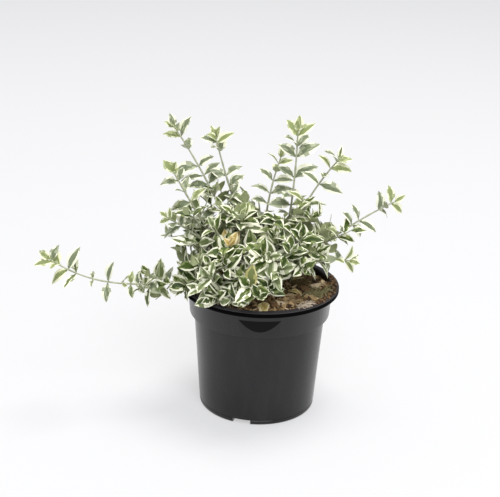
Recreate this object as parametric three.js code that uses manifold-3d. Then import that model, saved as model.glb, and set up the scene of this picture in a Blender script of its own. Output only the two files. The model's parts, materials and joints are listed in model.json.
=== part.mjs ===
// A young variegated wintercreeper, Euonymus fortunei, in a black two-litre nursery pot.
// Millimetres, +Z up. The origin is the centre of the pot's underside, +X runs to the right of
// somebody who looks at the pot's label face, and +Y runs away from them.
// A low mound of leafy tufts fills the pot, and longer shoots stand and trail out of it.

import * as THREE from "three";
import { mergeVertices } from "three/addons/utils/BufferGeometryUtils.js";
import Module from "manifold-3d";

const wasm = await Module();
wasm.setup();

// The pot: a thin tapered shell with a stacking collar and a wide lip.
const pot = {
  height: 140,
  wall: 1.5,
  baseRadius: 63.5,
  baseCorner: 2.6,
  wallTopRadius: 70.75,
  wallTopZ: 106,
  collarZ: 108,
  collarRadius: 75.8,
  collarTopRadius: 78,
  lipRadius: 85,
  lipHeight: 4.8,
  lipEdge: 1.1,
  segments: 42,
};
// Low bays in the foot, between which the pot stands on its flat base.
const bay = { count: 3, firstDeg: -104.5, width: 19.5, depth: 13, height: 5.5 };
// A flat slanting label face cut into the front of the collar.
const labelFace = { lowZ: 115.4, highZ: 128, depth: 2.1, turnDeg: 0, width: 70 };

// The potting mix: its loose lumpy top rises to the front and dips to the back.
const mix = { gap: 0.3, level: 134, slope: -0.03, lump: 1.3, rings: 4, calmRadius: 25, calmZ: 133.6 };

// Three short woody stems stand on the mix, each with a flat foot.
const stemShape = { height: 19, footRadius: 6.2, radius: 4.4, topRadius: 3.8, lean: 3.2, sides: 8 };
const stems = {
  left: { azimuth: 188, reach: 15 },
  back: { azimuth: 82, reach: 14 },
  right: { azimuth: -26, reach: 15 },
};

const clear = 0.3; // what touching pieces leave between them
const hair = 0.015; // no edge of a fused mass is shorter than this
// The seats of the boughs round a stem's head: levels from the head's top, and the rings from its
// axis outside which no bough starts.
const seats = [
  { z: -12, ring: 8, apartDeg: 44 },
  { z: -5.5, ring: 7.5, apartDeg: 46 },
  { z: 2.2, ring: 5.5, apartDeg: 60 },
];
// A bough's foot slides out from its stem's core by steps until it is clear, then at most slack more.
const seatCore = { z: -1, share: 0.3, step: 0.02, slack: 4 };
const nudges = { step: 6, count: 10 }; // degrees that a seat may be moved round its stem, either way
const boughShape = { radius: 1.5, tipRadius: 1.2, endRadius: 0.8, sides: 4, steps: 4 };
const leafShape = { length: 23.5, width: 14.5, thickness: 0.5, raised: 0.15, droop: 0.03, sink: 0.25 };

// Tufts of the mound: tiers of leafy masses round the stems. The front right is left open.
const tiers = [
  { name: "rim", reach: 90, height: 152, azimuths: [-148, -122, -98] },
  { name: "low", reach: 76, height: 156, azimuths: [40, 87, 133, 177] },
  { name: "middle", reach: 64, height: 192, azimuths: [-174, -126, -84, -42, 8, 62, 114] },
  { name: "top", reach: 36, height: 224, azimuths: [-134, -52, 98] },
];
const tuft = {
  room: 42,
  leafLength: 52,
  bow: [2, 9],
  size: 1.15,
  nodes: [0.58, 0.86],
  twigs: [0.04, 0.24, 0.44, 0.7],
};

// Long shoots. Each runs from its stem to the tip that azimuth, reach and height set, and stands off
// the straight line by bow (outwards, upwards) half way, or by two shares of it where sag is given.
// From the share leafFrom on it carries crossed pairs of leaves at its nodes, and side twigs, both
// as shares of what is left.
const shoots = [
  { name: "left_trailer", stem: "left", azimuth: -168.6, reach: 223, height: 176, bow: [0, -19],
    sag: [-0.1, 2.2], leafFrom: 0.3, nodes: [0.1, 0.3, 0.46, 0.66, 0.84, 0.95], twigs: [0.02], size: 0.9 },
  { name: "upper_left_outer", stem: "left", azimuth: 174, reach: 95, height: 306, bow: [-7, 2],
    leafFrom: 0.4, nodes: [0.34, 0.5, 0.64, 0.78, 0.9], twigs: [0.02, 0.2], size: 0.85 },
  { name: "upper_left_inner", stem: "back", azimuth: -174, reach: 51, height: 300, bow: [6, 8],
    leafFrom: 0.42, nodes: [0.3, 0.5, 0.72, 0.9], twigs: [0.02, 0.18], size: 0.8 },
  { name: "left_upper_side", stem: "left", azimuth: -165, reach: 96, height: 268, bow: [4, 2],
    leafFrom: 0.42, nodes: [0.4, 0.64, 0.84], twigs: [0.04, 0.26], size: 0.85 },
  { name: "left_side", stem: "left", azimuth: -161, reach: 104, height: 222, bow: [-2, 4],
    leafFrom: 0.5, nodes: [0.3, 0.6, 0.85], twigs: [0.1], size: 0.85 },
  { name: "top_leader", stem: "right", azimuth: 17, reach: 35, height: 305, bow: [4, -4],
    leafFrom: 0.38, nodes: [0.3, 0.48, 0.56, 0.72, 0.87], twigs: [0.02, 0.2], size: 0.95 },
  { name: "top_left", stem: "back", azimuth: 57, reach: 31, height: 272, bow: [-12, 2],
    leafFrom: 0.36, nodes: [0.46, 0.64, 0.84], twigs: [0.04, 0.26], size: 0.85 },
  { name: "top_right", stem: "right", azimuth: -8, reach: 76, height: 282, bow: [-8, 4],
    leafFrom: 0.4, nodes: [0.36, 0.6, 0.82], twigs: [0.02, 0.2], size: 0.9 },
  { name: "right_arm", stem: "right", azimuth: 0, reach: 138, height: 236, bow: [-4, 6],
    leafFrom: 0.44, nodes: [0.28, 0.46, 0.78], twigs: [0.04], size: 0.85 },
  { name: "right_low", stem: "right", azimuth: -8, reach: 94, height: 173, bow: [-2, 10],
    leafFrom: 0.5, nodes: [0.3, 0.7], twigs: [], size: 0.8 },
];
const shootRoom = 26; // the half width of the space round a long shoot

// The twig rule. Angles are degrees from the stem that carries them.
const rule = {
  tries: 6,
  twigAngle: 52,
  twigSpread: 50,
  twigLength: 26,
  twigThick: [0.75, 0.7],
  twigNodes: [0.45, 0.82],
  leafAngle: 54,
  leafSpread: 34,
  tipSize: 0.78,
  outward: 0.6,
  heartZ: 160,
  lift: 0.2,
  spacing: 9,
  mingle: 0.35,
};
// From the front, foliage hides little of the rim at the left and none of the mix at the right: it
// stays above a slanting plane that rises from lowZ, between two values of X, by riseZ.
const openFront = { fromX: -2, fullX: 42, toX: 95, toY: 30, lowZ: 108, riseZ: 47, fall: 0.4 };

const colours = {
  pot: [0x1b1c1f, 0.42],
  mix: [0x5b4630, 0.95],
  bark: [0x7d7a62, 0.8],
  foliage: [0x8fa06c, 0.6],
  shoot: [0x9dab78, 0.6],
};

const up = new THREE.Vector3(0, 0, 1);
const degrees = THREE.MathUtils.degToRad;
const quarter = Math.PI / 2;

// A seeded stream of numbers from 0 to 1.
function stream(seed) {
  let state = seed >>> 0;
  return () => {
    state = (state + 0x6d2b79f5) >>> 0;
    let mixed = Math.imul(state ^ (state >>> 15), state | 1);
    mixed = (mixed + Math.imul(mixed ^ (mixed >>> 7), mixed | 61)) ^ mixed;
    return ((mixed ^ (mixed >>> 14)) >>> 0) / 4294967296;
  };
}

function polar(azimuth, reach, height) {
  const angle = degrees(azimuth);
  return new THREE.Vector3(reach * Math.cos(angle), reach * Math.sin(angle), height);
}

// A closed three.js geometry as a solid.
function solidOf(geometry) {
  const flat = geometry.index ? geometry.toNonIndexed() : geometry;
  const bare = new THREE.BufferGeometry().setAttribute("position", flat.getAttribute("position"));
  const merged = mergeVertices(bare, 1e-4);
  const vertProperties = new Float32Array(merged.attributes.position.array);
  const triVerts = new Uint32Array(merged.index.array);
  return new wasm.Manifold(new wasm.Mesh({ numProp: 3, vertProperties, triVerts }));
}

// A geometry from corner points and triangles that index them.
function meshOf(points, triangles) {
  const geometry = new THREE.BufferGeometry();
  const corners = triangles.flat().flatMap((i) => points[i].toArray());
  geometry.setAttribute("position", new THREE.BufferAttribute(new Float32Array(corners), 3));
  return geometry;
}

// Whether every edge of a solid is longer than a hair, and no two of its edges coincide.
function sound(solid) {
  const { numProp, vertProperties, triVerts } = solid.getMesh();
  const corner = (i) => vertProperties.subarray(i * numProp, i * numProp + 3);
  const seen = new Set();
  for (let i = 0; i < triVerts.length; i++) {
    const a = corner(triVerts[i]);
    const b = corner(triVerts[i % 3 === 2 ? i - 2 : i + 1]);
    if (Math.hypot(a[0] - b[0], a[1] - b[1], a[2] - b[2]) < hair) return false;
    seen.add(`${a.map((v) => v.toFixed(3))} ${b.map((v) => v.toFixed(3))}`);
  }
  return seen.size === triVerts.length;
}

// The largest body of a solid as a geometry, so sealed hollows fill and loose scraps go.
function geometryOf(solid) {
  const bodies = solid.decompose().sort((a, b) => b.volume() - a.volume());
  const mesh = bodies[0].getMesh();
  const geometry = new THREE.BufferGeometry();
  const positions = new Float32Array(mesh.numVert * 3);
  for (let i = 0; i < mesh.numVert; i++) {
    const from = i * mesh.numProp;
    positions.set(mesh.vertProperties.subarray(from, from + 3), i * 3);
  }
  geometry.setAttribute("position", new THREE.BufferAttribute(positions, 3));
  geometry.setIndex(new THREE.BufferAttribute(new Uint32Array(mesh.triVerts), 1));
  geometry.computeVertexNormals();
  return geometry;
}

// A turned solid: the profile's points are radius and height, from axis to axis.
function turned(profile) {
  const points = profile.map(([r, z]) => new THREE.Vector2(r, z));
  const geometry = new THREE.LatheGeometry(points, pot.segments);
  geometry.rotateX(Math.PI / 2); // the lathe turns about Y
  return solidOf(geometry);
}

function box(sizeX, sizeY, sizeZ, place) {
  const geometry = new THREE.BoxGeometry(sizeX, sizeY, sizeZ);
  geometry.applyMatrix4(place);
  return solidOf(geometry);
}

// The collar's outer radius at a height, as it widens towards the lip.
function collarAt(z) {
  const share = (z - pot.collarZ) / (pot.height - pot.collarZ);
  return THREE.MathUtils.lerp(pot.collarRadius, pot.collarTopRadius, share);
}

// The outside of the pot, or the face that lies inset behind it.
function potProfile(inset) {
  const corner = pot.baseCorner;
  const low = pot.baseRadius - inset;
  const rise = inset * 0.45;
  return [
    [0, inset],
    [low - corner, inset],
    [low - corner * 0.3, inset + corner * 0.3],
    [low, inset + corner],
    [pot.wallTopRadius - inset, pot.wallTopZ + rise],
    [pot.collarRadius - inset, pot.collarZ + rise],
  ];
}

// Blocks that cut the bays, each grown by extra.
function bays(extra) {
  const blocks = [];
  for (let i = 0; i < bay.count; i++) {
    const angle = degrees(bay.firstDeg + (360 / bay.count) * i);
    const depth = bay.depth + extra;
    const place = new THREE.Matrix4().makeRotationZ(angle);
    const high = (bay.height + extra) * 2;
    place.multiply(new THREE.Matrix4().makeTranslation(pot.baseRadius + 10 - depth / 2, 0, 0));
    blocks.push(box(depth + 20, bay.width + 2 * extra, high, place));
  }
  return blocks.reduce((all, one) => all.add(one));
}

// What the label face cuts away, or the wall behind it when inset is the wall.
function labelCut(inset) {
  const { lowZ, highZ, depth, turnDeg } = labelFace;
  const low = collarAt(lowZ) - inset;
  const far = pot.lipRadius + 10;
  const section = new THREE.Shape();
  section.moveTo(-low, lowZ - inset);
  section.lineTo(-(low - depth), highZ + inset);
  section.lineTo(-far, highZ + inset);
  section.lineTo(-far, lowZ - inset);
  const width = labelFace.width + 2 * inset;
  const geometry = new THREE.ExtrudeGeometry(section, { depth: width, bevelEnabled: false });
  geometry.translate(0, 0, -width / 2);
  // The section is drawn as (y, z), and it is swept along x.
  geometry.applyMatrix4(new THREE.Matrix4().set(0, 0, 1, 0, 1, 0, 0, 0, 0, 1, 0, 0, 0, 0, 0, 1));
  geometry.rotateZ(degrees(turnDeg));
  return solidOf(geometry);
}

// The room inside the pot behind its wall and a gap, under a top whose points are given.
function potRoom(gap, topPoints) {
  const inset = pot.wall + gap;
  const room = turned([...potProfile(inset), ...topPoints]);
  return room.subtract(bays(inset)).subtract(labelCut(inset));
}

function makePot() {
  const { height, lipRadius, lipHeight, lipEdge, collarTopRadius, wall } = pot;
  const under = height - lipHeight;
  const shell = turned([
    ...potProfile(0),
    [collarTopRadius, height - wall],
    [lipRadius - wall, height - wall],
    [lipRadius - wall, under],
    [lipRadius, under],
    [lipRadius, height - lipEdge],
    [lipRadius - lipEdge, height],
    [0, height],
  ]);
  const inner = collarTopRadius - wall;
  const room = potRoom(0, [[inner, height + 1], [0, height + 1]]);
  return shell.subtract(bays(0)).subtract(labelCut(0)).subtract(room);
}

// The radius of the mix's top, clear of the wall at the edge's lowest place.
function mixEdge() {
  return collarAt(mix.level - 3) - pot.wall - mix.gap;
}

// The height of the mix, with lumps that die away round the stems and at the wall.
function mixHeight(x, y) {
  const r = Math.hypot(x, y);
  const edge = mixEdge();
  const outside = THREE.MathUtils.smoothstep(r, mix.calmRadius, mix.calmRadius + 16);
  const lumps = Math.sin(x * 0.21 + 1.3) * Math.cos(y * 0.17) + 0.6 * Math.sin(x * 0.11 - y * 0.32);
  const rough = mix.lump * lumps * (1 - (r / edge) ** 8) + mix.level - mix.calmZ + mix.slope * y;
  return mix.calmZ + outside * rough;
}

function makeMix() {
  const edge = mixEdge();
  const under = mix.level - 0.1;
  const top = [];
  for (let i = 0; i <= mix.rings; i++) top.push([edge * (1 - i / mix.rings), mix.level + i * 0.01]);
  const mesh = potRoom(mix.gap, top).getMesh();
  const points = [];
  const triangles = [];
  for (let i = 0; i < mesh.numVert; i++) {
    const [x, y, z] = mesh.vertProperties.subarray(i * mesh.numProp, i * mesh.numProp + 3);
    points.push(new THREE.Vector3(x, y, z > under ? mixHeight(x, y) : z));
  }
  for (let i = 0; i < mesh.triVerts.length; i += 3) {
    triangles.push([...mesh.triVerts.subarray(i, i + 3)]);
  }
  return solidOf(meshOf(points, triangles));
}

// A direction across a curve that lies in one plane, turned about the curve at share t.
function across(curve, t, turn) {
  const start = curve.getTangent(0);
  const normal = start.clone().cross(curve.getTangent(1));
  if (normal.length() < 1e-3) normal.crossVectors(start, up);
  if (normal.length() < 1e-3) normal.set(1, 0, 0);
  return normal.normalize().applyAxisAngle(curve.getTangent(t), turn);
}

// The end part of a curve, from a share of it on, as straight lengths between a few points.
function bent(curve, from, steps) {
  const knots = [];
  for (let i = 0; i <= steps; i++) knots.push(curve.getPoint(from + ((1 - from) * i) / steps));
  const length = (t) => Math.min(steps - 1, Math.floor(t * steps));
  return {
    getPoint: (t) => knots[length(t)].clone().lerp(knots[length(t) + 1], t * steps - length(t)),
    getTangent: (t) => knots[length(t) + 1].clone().sub(knots[length(t)]).normalize(),
  };
}

// A many-sided limb along a curve, from one share of it to another, that tapers evenly.
function limb(curve, from, to, radiusFrom, radiusTo, sides, steps, turn = 0) {
  const points = [];
  const triangles = [];
  for (let i = 0; i <= steps; i++) {
    const t = from + ((to - from) * i) / steps;
    const centre = curve.getPoint(t);
    const radius = radiusFrom + ((radiusTo - radiusFrom) * i) / steps;
    for (let j = 0; j < sides; j++) {
      const way = across(curve, t, turn + (2 * Math.PI * j) / sides);
      points.push(centre.clone().addScaledVector(way, radius));
    }
  }
  for (let i = 0; i < steps; i++) {
    for (let j = 0; j < sides; j++) {
      const a = i * sides + j;
      const b = i * sides + ((j + 1) % sides);
      triangles.push([a, b, b + sides], [a, b + sides, a + sides]);
    }
  }
  for (let j = 1; j < sides - 1; j++) {
    const last = steps * sides;
    triangles.push([0, j + 1, j], [last, last + j, last + j + 1]);
  }
  return solidOf(meshOf(points, triangles));
}

// A leaf: a thin blade with a base, a tip and two corners on each side, folded along its midrib.
// The last point is the ridge in the middle of its upper face.
function leafPoints(leaf) {
  const side = new THREE.Vector3().crossVectors(leaf.face, leaf.along).normalize();
  const { length, width, root } = leaf;
  const at = (share, aside, above) => {
    const point = root.clone().addScaledVector(leaf.along, share * length);
    return point.addScaledVector(side, aside * width).addScaledVector(leaf.face, above);
  };
  const { raised, droop, thickness } = leafShape;
  return [
    at(0, 0, 0),
    at(0.4, 0.46, raised * width),
    at(0.74, 0.36, raised * width * 0.6),
    at(1, 0, -droop * length),
    at(0.74, -0.36, raised * width * 0.6),
    at(0.4, -0.46, raised * width),
    at(0.5, 0, thickness - (droop * length) / 2),
  ];
}

function leafSolid(points) {
  const triangles = [[0, 1, 3], [1, 2, 3], [0, 3, 5], [3, 4, 5]];
  for (let i = 0; i < 6; i++) triangles.push([6, (i + 1) % 6, i]);
  return solidOf(meshOf(points, triangles));
}

// The same leaf, swollen by the gap that it leaves to what lies next to it.
function swollen(leaf) {
  const points = leafPoints(leaf);
  points[6].addScaledVector(leaf.face, clear);
  return points.map((point, i) => (i < 6 ? point.addScaledVector(leaf.face, -clear) : point));
}

// The spaces that foliage keeps to: each is a line with a half width round it.
function distanceToLine(point, from, to) {
  const along = to.clone().sub(from);
  const t = THREE.MathUtils.clamp(point.clone().sub(from).dot(along) / along.lengthSq(), 0, 1);
  return from.clone().addScaledVector(along, t).distanceTo(point);
}

function depthIn(space, point) {
  let nearest = Infinity;
  for (let i = 1; i < space.line.length; i++) {
    nearest = Math.min(nearest, distanceToLine(point, space.line[i - 1], space.line[i]));
  }
  return nearest / space.room;
}

function touchesPot(point) {
  const r = Math.hypot(point.x, point.y);
  if (r > pot.lipRadius + 1) return false;
  if (r > pot.collarTopRadius - pot.wall - 1) return point.z < pot.height + 1;
  return point.z < mixHeight(point.x, point.y) + 1.5;
}

function overOpenFront(point) {
  const { fromX, fullX, toX, toY, lowZ, riseZ, fall } = openFront;
  if (point.x > toX || point.y > toY) return false;
  const share = THREE.MathUtils.clamp((point.x - fromX) / (fullX - fromX), 0, 1);
  return point.z < lowZ + riseZ * Math.sqrt(share) - fall * point.y;
}

function fits(points, mass) {
  return points.every((point) => {
    if (touchesPot(point) || overOpenFront(point)) return false;
    const own = depthIn(mass, point);
    if (own > 1) return false;
    return plan.every((other) => other === mass || depthIn(other, point) > own - rule.mingle);
  });
}

// One leaf on a stem, its upper face turned outwards and to the light.
function leafOn(stem, share, thick, radial, angle, size, draw) {
  const end = stem.getTangent(share);
  const inside = angle ? Math.SQRT1_2 * THREE.MathUtils.lerp(thick[0], thick[1], share) : 0;
  const tilt = degrees(angle + rule.leafSpread * (draw() - 0.5));
  const along = end.clone().multiplyScalar(Math.cos(tilt)).addScaledVector(radial, Math.sin(tilt));
  const root = stem.getPoint(share).addScaledVector(angle ? radial : end, inside - leafShape.sink);
  along.z += rule.lift * (0.6 + 0.8 * draw());
  along.normalize();
  const face = (angle ? end : radial).clone().add(outwardFrom(root));
  face.x += 0.5 * (draw() - 0.5);
  face.y += 0.5 * (draw() - 0.5);
  face.z += 0.5 + 0.3 * draw();
  face.addScaledVector(along, -face.dot(along)).normalize();
  const grown = size * (0.84 + 0.3 * draw());
  return { root, along, face, length: leafShape.length * grown, width: leafShape.width * grown };
}

// The way out of the mound at a point.
function outwardFrom(point) {
  return point.clone().setZ((point.z - rule.heartZ) * 0.8).normalize();
}

// One side twig that leaves a stem in a direction across it.
function twigFrom(stem, share, radial, draw) {
  const tilt = degrees(rule.twigAngle + rule.twigSpread * (draw() - 0.5));
  const along = stem.getTangent(share);
  const way = along.multiplyScalar(Math.cos(tilt)).addScaledVector(radial, Math.sin(tilt));
  const root = stem.getPoint(share);
  way.addScaledVector(outwardFrom(root), rule.outward * draw()).normalize();
  const length = rule.twigLength * (1.15 - 0.4 * share) * (0.7 + 0.5 * draw());
  return new THREE.LineCurve3(root, root.clone().addScaledVector(way, length));
}

function apart(a, b) {
  return Math.abs(((a - b + 540) % 360) - 180);
}

// Every leafy mass of the plant. A tuft grows on the stem whose bearing is nearest to its own.
function massPlan() {
  const masses = [];
  for (const { name, reach, height, azimuths } of tiers) {
    azimuths.forEach((azimuth, i) => {
      const near = (a, b) => apart(azimuth, stems[a].azimuth) - apart(azimuth, stems[b].azimuth);
      const stem = Object.keys(stems).sort(near)[0];
      masses.push({ ...tuft, name: `${name}_tuft_${i + 1}`, stem, azimuth, reach, height, kind: "foliage" });
    });
  }
  for (const shoot of shoots) masses.push({ ...shoot, room: shootRoom, kind: "shoot" });
  masses.forEach((mass, i) => {
    mass.seed = 101 + 17 * i;
    mass.turn = stream(mass.seed + 1)() * Math.PI;
    mass.steps = mass.leafFrom ? 5 : 2;
  });
  return masses;
}

function stemTop(name) {
  const { azimuth, reach } = stems[name];
  return polar(azimuth, reach + stemShape.lean, mix.calmZ + clear + stemShape.height);
}

// A stem with its flared foot, or the same grown by extra.
function makeStem(name, extra) {
  const { azimuth, reach } = stems[name];
  const { sides, height } = stemShape;
  const foot = polar(azimuth, reach, mix.calmZ + clear);
  const bend = foot.clone().addScaledVector(up, height / 2);
  const curve = new THREE.QuadraticBezierCurve3(foot, bend, stemTop(name).addScaledVector(up, extra));
  const root = new THREE.LineCurve3(foot, foot.clone().addScaledVector(up, height * 0.22));
  const [wide, middle, thin] = [stemShape.footRadius, stemShape.radius, stemShape.topRadius];
  const flare = limb(root, 0, 1, wide + extra, middle + extra, sides, 1);
  return flare.add(limb(curve, 0, 1, middle + extra, thin + extra, sides, 3));
}

// Gives each mass its seat. The boughs of a stem are dealt out to levels round its head, the
// flatter ones lower down, and the seats of one level are spread apart.
function addSeats() {
  for (const name of Object.keys(stems)) {
    const head = stemTop(name);
    const carried = plan.filter((mass) => mass.stem === name);
    for (const mass of carried) {
      const away = polar(mass.azimuth, mass.reach, mass.height).sub(head);
      mass.rise = away.z / Math.hypot(away.x, away.y);
      mass.bearing = Math.atan2(away.y, away.x);
    }
    carried.sort((a, b) => a.rise - b.rise);
    const perLevel = Math.ceil(carried.length / seats.length);
    seats.forEach((level, k) => {
      const row = carried.slice(k * perLevel, (k + 1) * perLevel);
      seatRow(row, head, level);
    });
  }
}

function seatRow(row, head, level) {
  const start = row[0].bearing;
  const turned = (mass) => start + Math.atan2(Math.sin(mass.bearing - start), Math.cos(mass.bearing - start));
  row.sort((a, b) => turned(a) - turned(b));
  const angles = row.map(turned);
  const room = degrees(level.apartDeg);
  for (let pass = 0; pass < 60; pass++) {
    for (let i = 1; i < row.length; i++) {
      const lack = room - (angles[i] - angles[i - 1]);
      if (lack < 0) continue;
      angles[i - 1] -= lack / 2;
      angles[i] += lack / 2;
    }
  }
  row.forEach((mass, i) => {
    mass.seat = new THREE.Vector3(Math.cos(angles[i]), Math.sin(angles[i]), 0);
    mass.seat.multiplyScalar(level.ring).add(head).addScaledVector(up, level.z);
    mass.core = head.clone().addScaledVector(up, Math.min(level.z, seatCore.z));
  });
}

// The curve of a mass from its seat to its tip, and where on it the bough ends and leaves start.
function addCurve(mass) {
  const tip = polar(mass.azimuth, mass.reach, mass.height);
  const bow = polar(mass.azimuth, ...mass.bow);
  const [early, late] = mass.sag ?? [4 / 3, 4 / 3];
  const first = mass.foot.clone().lerp(tip, 1 / 3).addScaledVector(bow, early);
  const second = mass.foot.clone().lerp(tip, 2 / 3).addScaledVector(bow, late);
  mass.curve = new THREE.CubicBezierCurve3(mass.foot, first, second, tip);
  const length = mass.curve.getLength();
  mass.from = mass.leafFrom ?? Math.max(0.3, 1 - mass.leafLength / length);
  mass.boughEnd = mass.from - clear / length;
  mass.leader = bent(mass.curve, mass.from, mass.steps);
  const shares = mass.leafFrom ? [0, 0.25, 0.5, 0.75, 1] : [0.45, 1];
  mass.line = shares.map((share) => mass.leader.getPoint(share));
}

function makeBough(mass, extra) {
  const { radius, tipRadius, sides, steps } = boughShape;
  return limb(mass.curve, 0, mass.boughEnd, radius + extra, tipRadius + extra, sides, steps);
}

function massStem(mass, extra) {
  const { tipRadius, endRadius } = boughShape;
  return limb(mass.leader, 0, 1, tipRadius + extra, endRadius + extra, 4, mass.steps, mass.turn);
}

// Slides a bough's foot out from the core of its stem until the bough just clears the stem, and
// moves the seat round the stem, if need be, until the bough clears the ones already placed.
function placeBough(mass, stem, placed) {
  for (let i = 0; i <= 2 * nudges.count; i++) {
    const aside = degrees(nudges.step * Math.ceil(i / 2) * (i % 2 ? 1 : -1));
    const seat = mass.seat.clone().sub(mass.core).applyAxisAngle(up, aside).add(mass.core);
    let slack = seatCore.slack;
    for (let share = seatCore.share; share < 1 && slack > 0; share += seatCore.step) {
      mass.foot = mass.core.clone().lerp(seat, share);
      addCurve(mass);
      const own = [makeBough(mass, 0), massStem(mass, 0)];
      if (!own[0].intersect(stem).isEmpty()) continue;
      slack -= 1;
      if (own.every((solid) => placed.every((other) => solid.intersect(other).isEmpty()))) return;
    }
  }
}

// Places every bough. The long shoots come first, so it is the tufts that give way.
function addCurves(firm) {
  const placed = [...firm];
  const order = [...plan].sort((a, b) => (b.leafFrom ? 1 : 0) - (a.leafFrom ? 1 : 0));
  for (const mass of order) {
    placeBough(mass, makeStem(mass.stem, clear), placed);
    placed.push(makeBough(mass, clear), massStem(mass, clear));
  }
}

// Fuses a mass from its stem, twigs and leaves. A twig or leaf that would leave the mass's own
// space, or touch another piece or leaf, is skipped.
function makeMass(mass, index) {
  const draw = stream(mass.seed);
  const others = pieces.map(([, solid]) => solid);
  for (const later of plan.slice(index + 1)) others.push(massStem(later, clear));
  const boxes = others.map((solid) => solid.boundingBox());
  const free = (solid) => {
    const own = solid.boundingBox();
    return others.every((other, i) => {
      const away = [0, 1, 2].some((k) => own.min[k] > boxes[i].max[k] || own.max[k] < boxes[i].min[k]);
      return away || solid.intersect(other).isEmpty();
    });
  };
  const { twigThick, tries } = rule;
  const { leader: stem, turn } = mass;
  const thick = [boughShape.tipRadius, boughShape.endRadius];
  let body = massStem(mass, 0);
  const middles = [];

  // Puts one leaf where the first of a few tries fits.
  const growLeaf = (...where) => {
    for (let i = 0; i < tries; i++) {
      const leaf = leafOn(...where, draw);
      const points = leafPoints(leaf);
      const outer = { ...leaf, root: leaf.root.clone().addScaledVector(leaf.along, 2.5) };
      if (middles.some((other) => other.distanceTo(points[6]) < rule.spacing)) continue;
      if (!fits(points.slice(1), mass) || !leafSolid(leafPoints(outer)).intersect(body).isEmpty()) continue;
      if (!free(leafSolid(swollen(leaf)))) continue;
      const grown = body.add(leafSolid(points));
      if (!sound(grown)) continue;
      middles.push(points[6]);
      body = grown;
      return;
    }
  };

  // Crossed pairs of leaves at the nodes of a stem or twig, and a young leaf at its tip.
  const growLeaves = (line, thickness, nodes, rowTurn) => {
    nodes.forEach((node, i) => {
      for (const half of [0, 2]) {
        const radial = across(line, node, rowTurn + (i + half) * quarter);
        growLeaf(line, node, thickness, radial, rule.leafAngle, mass.size);
      }
    });
    growLeaf(line, 1, thickness, across(line, 1, rowTurn), 0, mass.size * rule.tipSize);
  };

  growLeaves(stem, thick, mass.nodes, turn + quarter / 2);
  mass.twigs.forEach((share, i) => {
    for (const half of [0, 2]) {
      const radial = across(stem, share, turn + quarter / 2 + (i + half) * quarter);
      for (let k = 0; k < tries; k++) {
        const line = twigFrom(stem, share, radial, draw);
        const path = [0.3, 0.65, 1].map((t) => line.getPoint(t));
        if (!fits(path, mass)) continue;
        const twig = limb(line, 0, 1, ...twigThick, 4, 1, turn);
        const outer = limb(line, 0.15, 1, ...twigThick, 4, 1, turn);
        if (!outer.intersect(body).isEmpty() || !free(twig)) continue;
        const grown = body.add(twig);
        if (!sound(grown)) continue;
        body = grown;
        growLeaves(line, twigThick, rule.twigNodes, turn + quarter / 2);
        break;
      }
    }
  });
  return body;
}

const plan = massPlan();
addSeats();

const pieces = [];
pieces.push(["pot", makePot(), "pot"]);
pieces.push(["potting_mix", makeMix(), "mix"]);
for (const name of Object.keys(stems)) pieces.push([`stem_${name}`, makeStem(name, 0), "bark"]);
addCurves(pieces.map(([, solid]) => solid));
for (const mass of plan) pieces.push([`bough_${mass.name}`, makeBough(mass, 0), "bark"]);
plan.forEach((mass, i) => pieces.push([`foliage_${mass.name}`, makeMass(mass, i), mass.kind]));

const plant = new THREE.Group();
for (const [name, solid, kind] of pieces) {
  const [color, roughness] = colours[kind];
  const material = new THREE.MeshStandardMaterial({ color, roughness, metalness: 0 });
  const mesh = new THREE.Mesh(geometryOf(solid), material);
  mesh.name = name;
  plant.add(mesh);
}

export default plant;
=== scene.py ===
import json
import math
import random

import bmesh
import bpy
import numpy as np
from mathutils import Matrix, Vector, noise
from mathutils.bvhtree import BVHTree

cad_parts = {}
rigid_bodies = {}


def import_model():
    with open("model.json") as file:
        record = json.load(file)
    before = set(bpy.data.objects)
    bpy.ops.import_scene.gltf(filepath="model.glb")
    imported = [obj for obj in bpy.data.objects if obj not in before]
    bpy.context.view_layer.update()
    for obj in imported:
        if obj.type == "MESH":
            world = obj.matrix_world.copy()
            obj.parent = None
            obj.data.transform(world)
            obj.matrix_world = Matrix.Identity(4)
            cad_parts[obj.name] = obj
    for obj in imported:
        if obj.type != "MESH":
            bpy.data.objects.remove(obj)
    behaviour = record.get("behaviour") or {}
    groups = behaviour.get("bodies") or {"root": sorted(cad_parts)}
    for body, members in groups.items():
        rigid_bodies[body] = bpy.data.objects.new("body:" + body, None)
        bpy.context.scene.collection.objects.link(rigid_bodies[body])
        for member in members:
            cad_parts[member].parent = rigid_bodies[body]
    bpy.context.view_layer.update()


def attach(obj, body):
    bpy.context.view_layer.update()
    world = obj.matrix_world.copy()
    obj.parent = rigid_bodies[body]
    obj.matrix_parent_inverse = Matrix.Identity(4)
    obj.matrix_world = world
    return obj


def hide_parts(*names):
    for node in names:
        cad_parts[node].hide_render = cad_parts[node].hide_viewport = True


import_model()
mm = 0.001
up = Vector((0, 0, 1))


def linear(hexColour):
    # sRGB hex to linear RGBA
    parts = [int(hexColour[i : i + 2], 16) / 255 for i in (1, 3, 5)]
    return [p / 12.92 if p <= 0.04045 else ((p + 0.055) / 1.055) ** 2.4 for p in parts] + [1.0]


def addNode(tree, kind, settings={}, inputs={}, stops=(), to=None):
    # stops are a colour ramp's places with a hex colour or a grey; to is the socket it feeds
    node = tree.nodes.new(kind)
    for name, value in settings.items():
        setattr(node, name, value)
    for name, value in inputs.items():
        socket = node.inputs[name]
        if isinstance(value, bpy.types.NodeSocket):
            tree.links.new(value, socket)
        else:
            socket.default_value = value
    for i, (place, colour) in enumerate(stops):
        points = node.color_ramp.elements
        point = points[i] if i < len(points) else points.new(place)
        point.position = place
        point.color = linear(colour) if isinstance(colour, str) else [colour] * 3 + [1]
    if to:
        tree.links.new(node.outputs[0], to)
    return node


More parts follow.
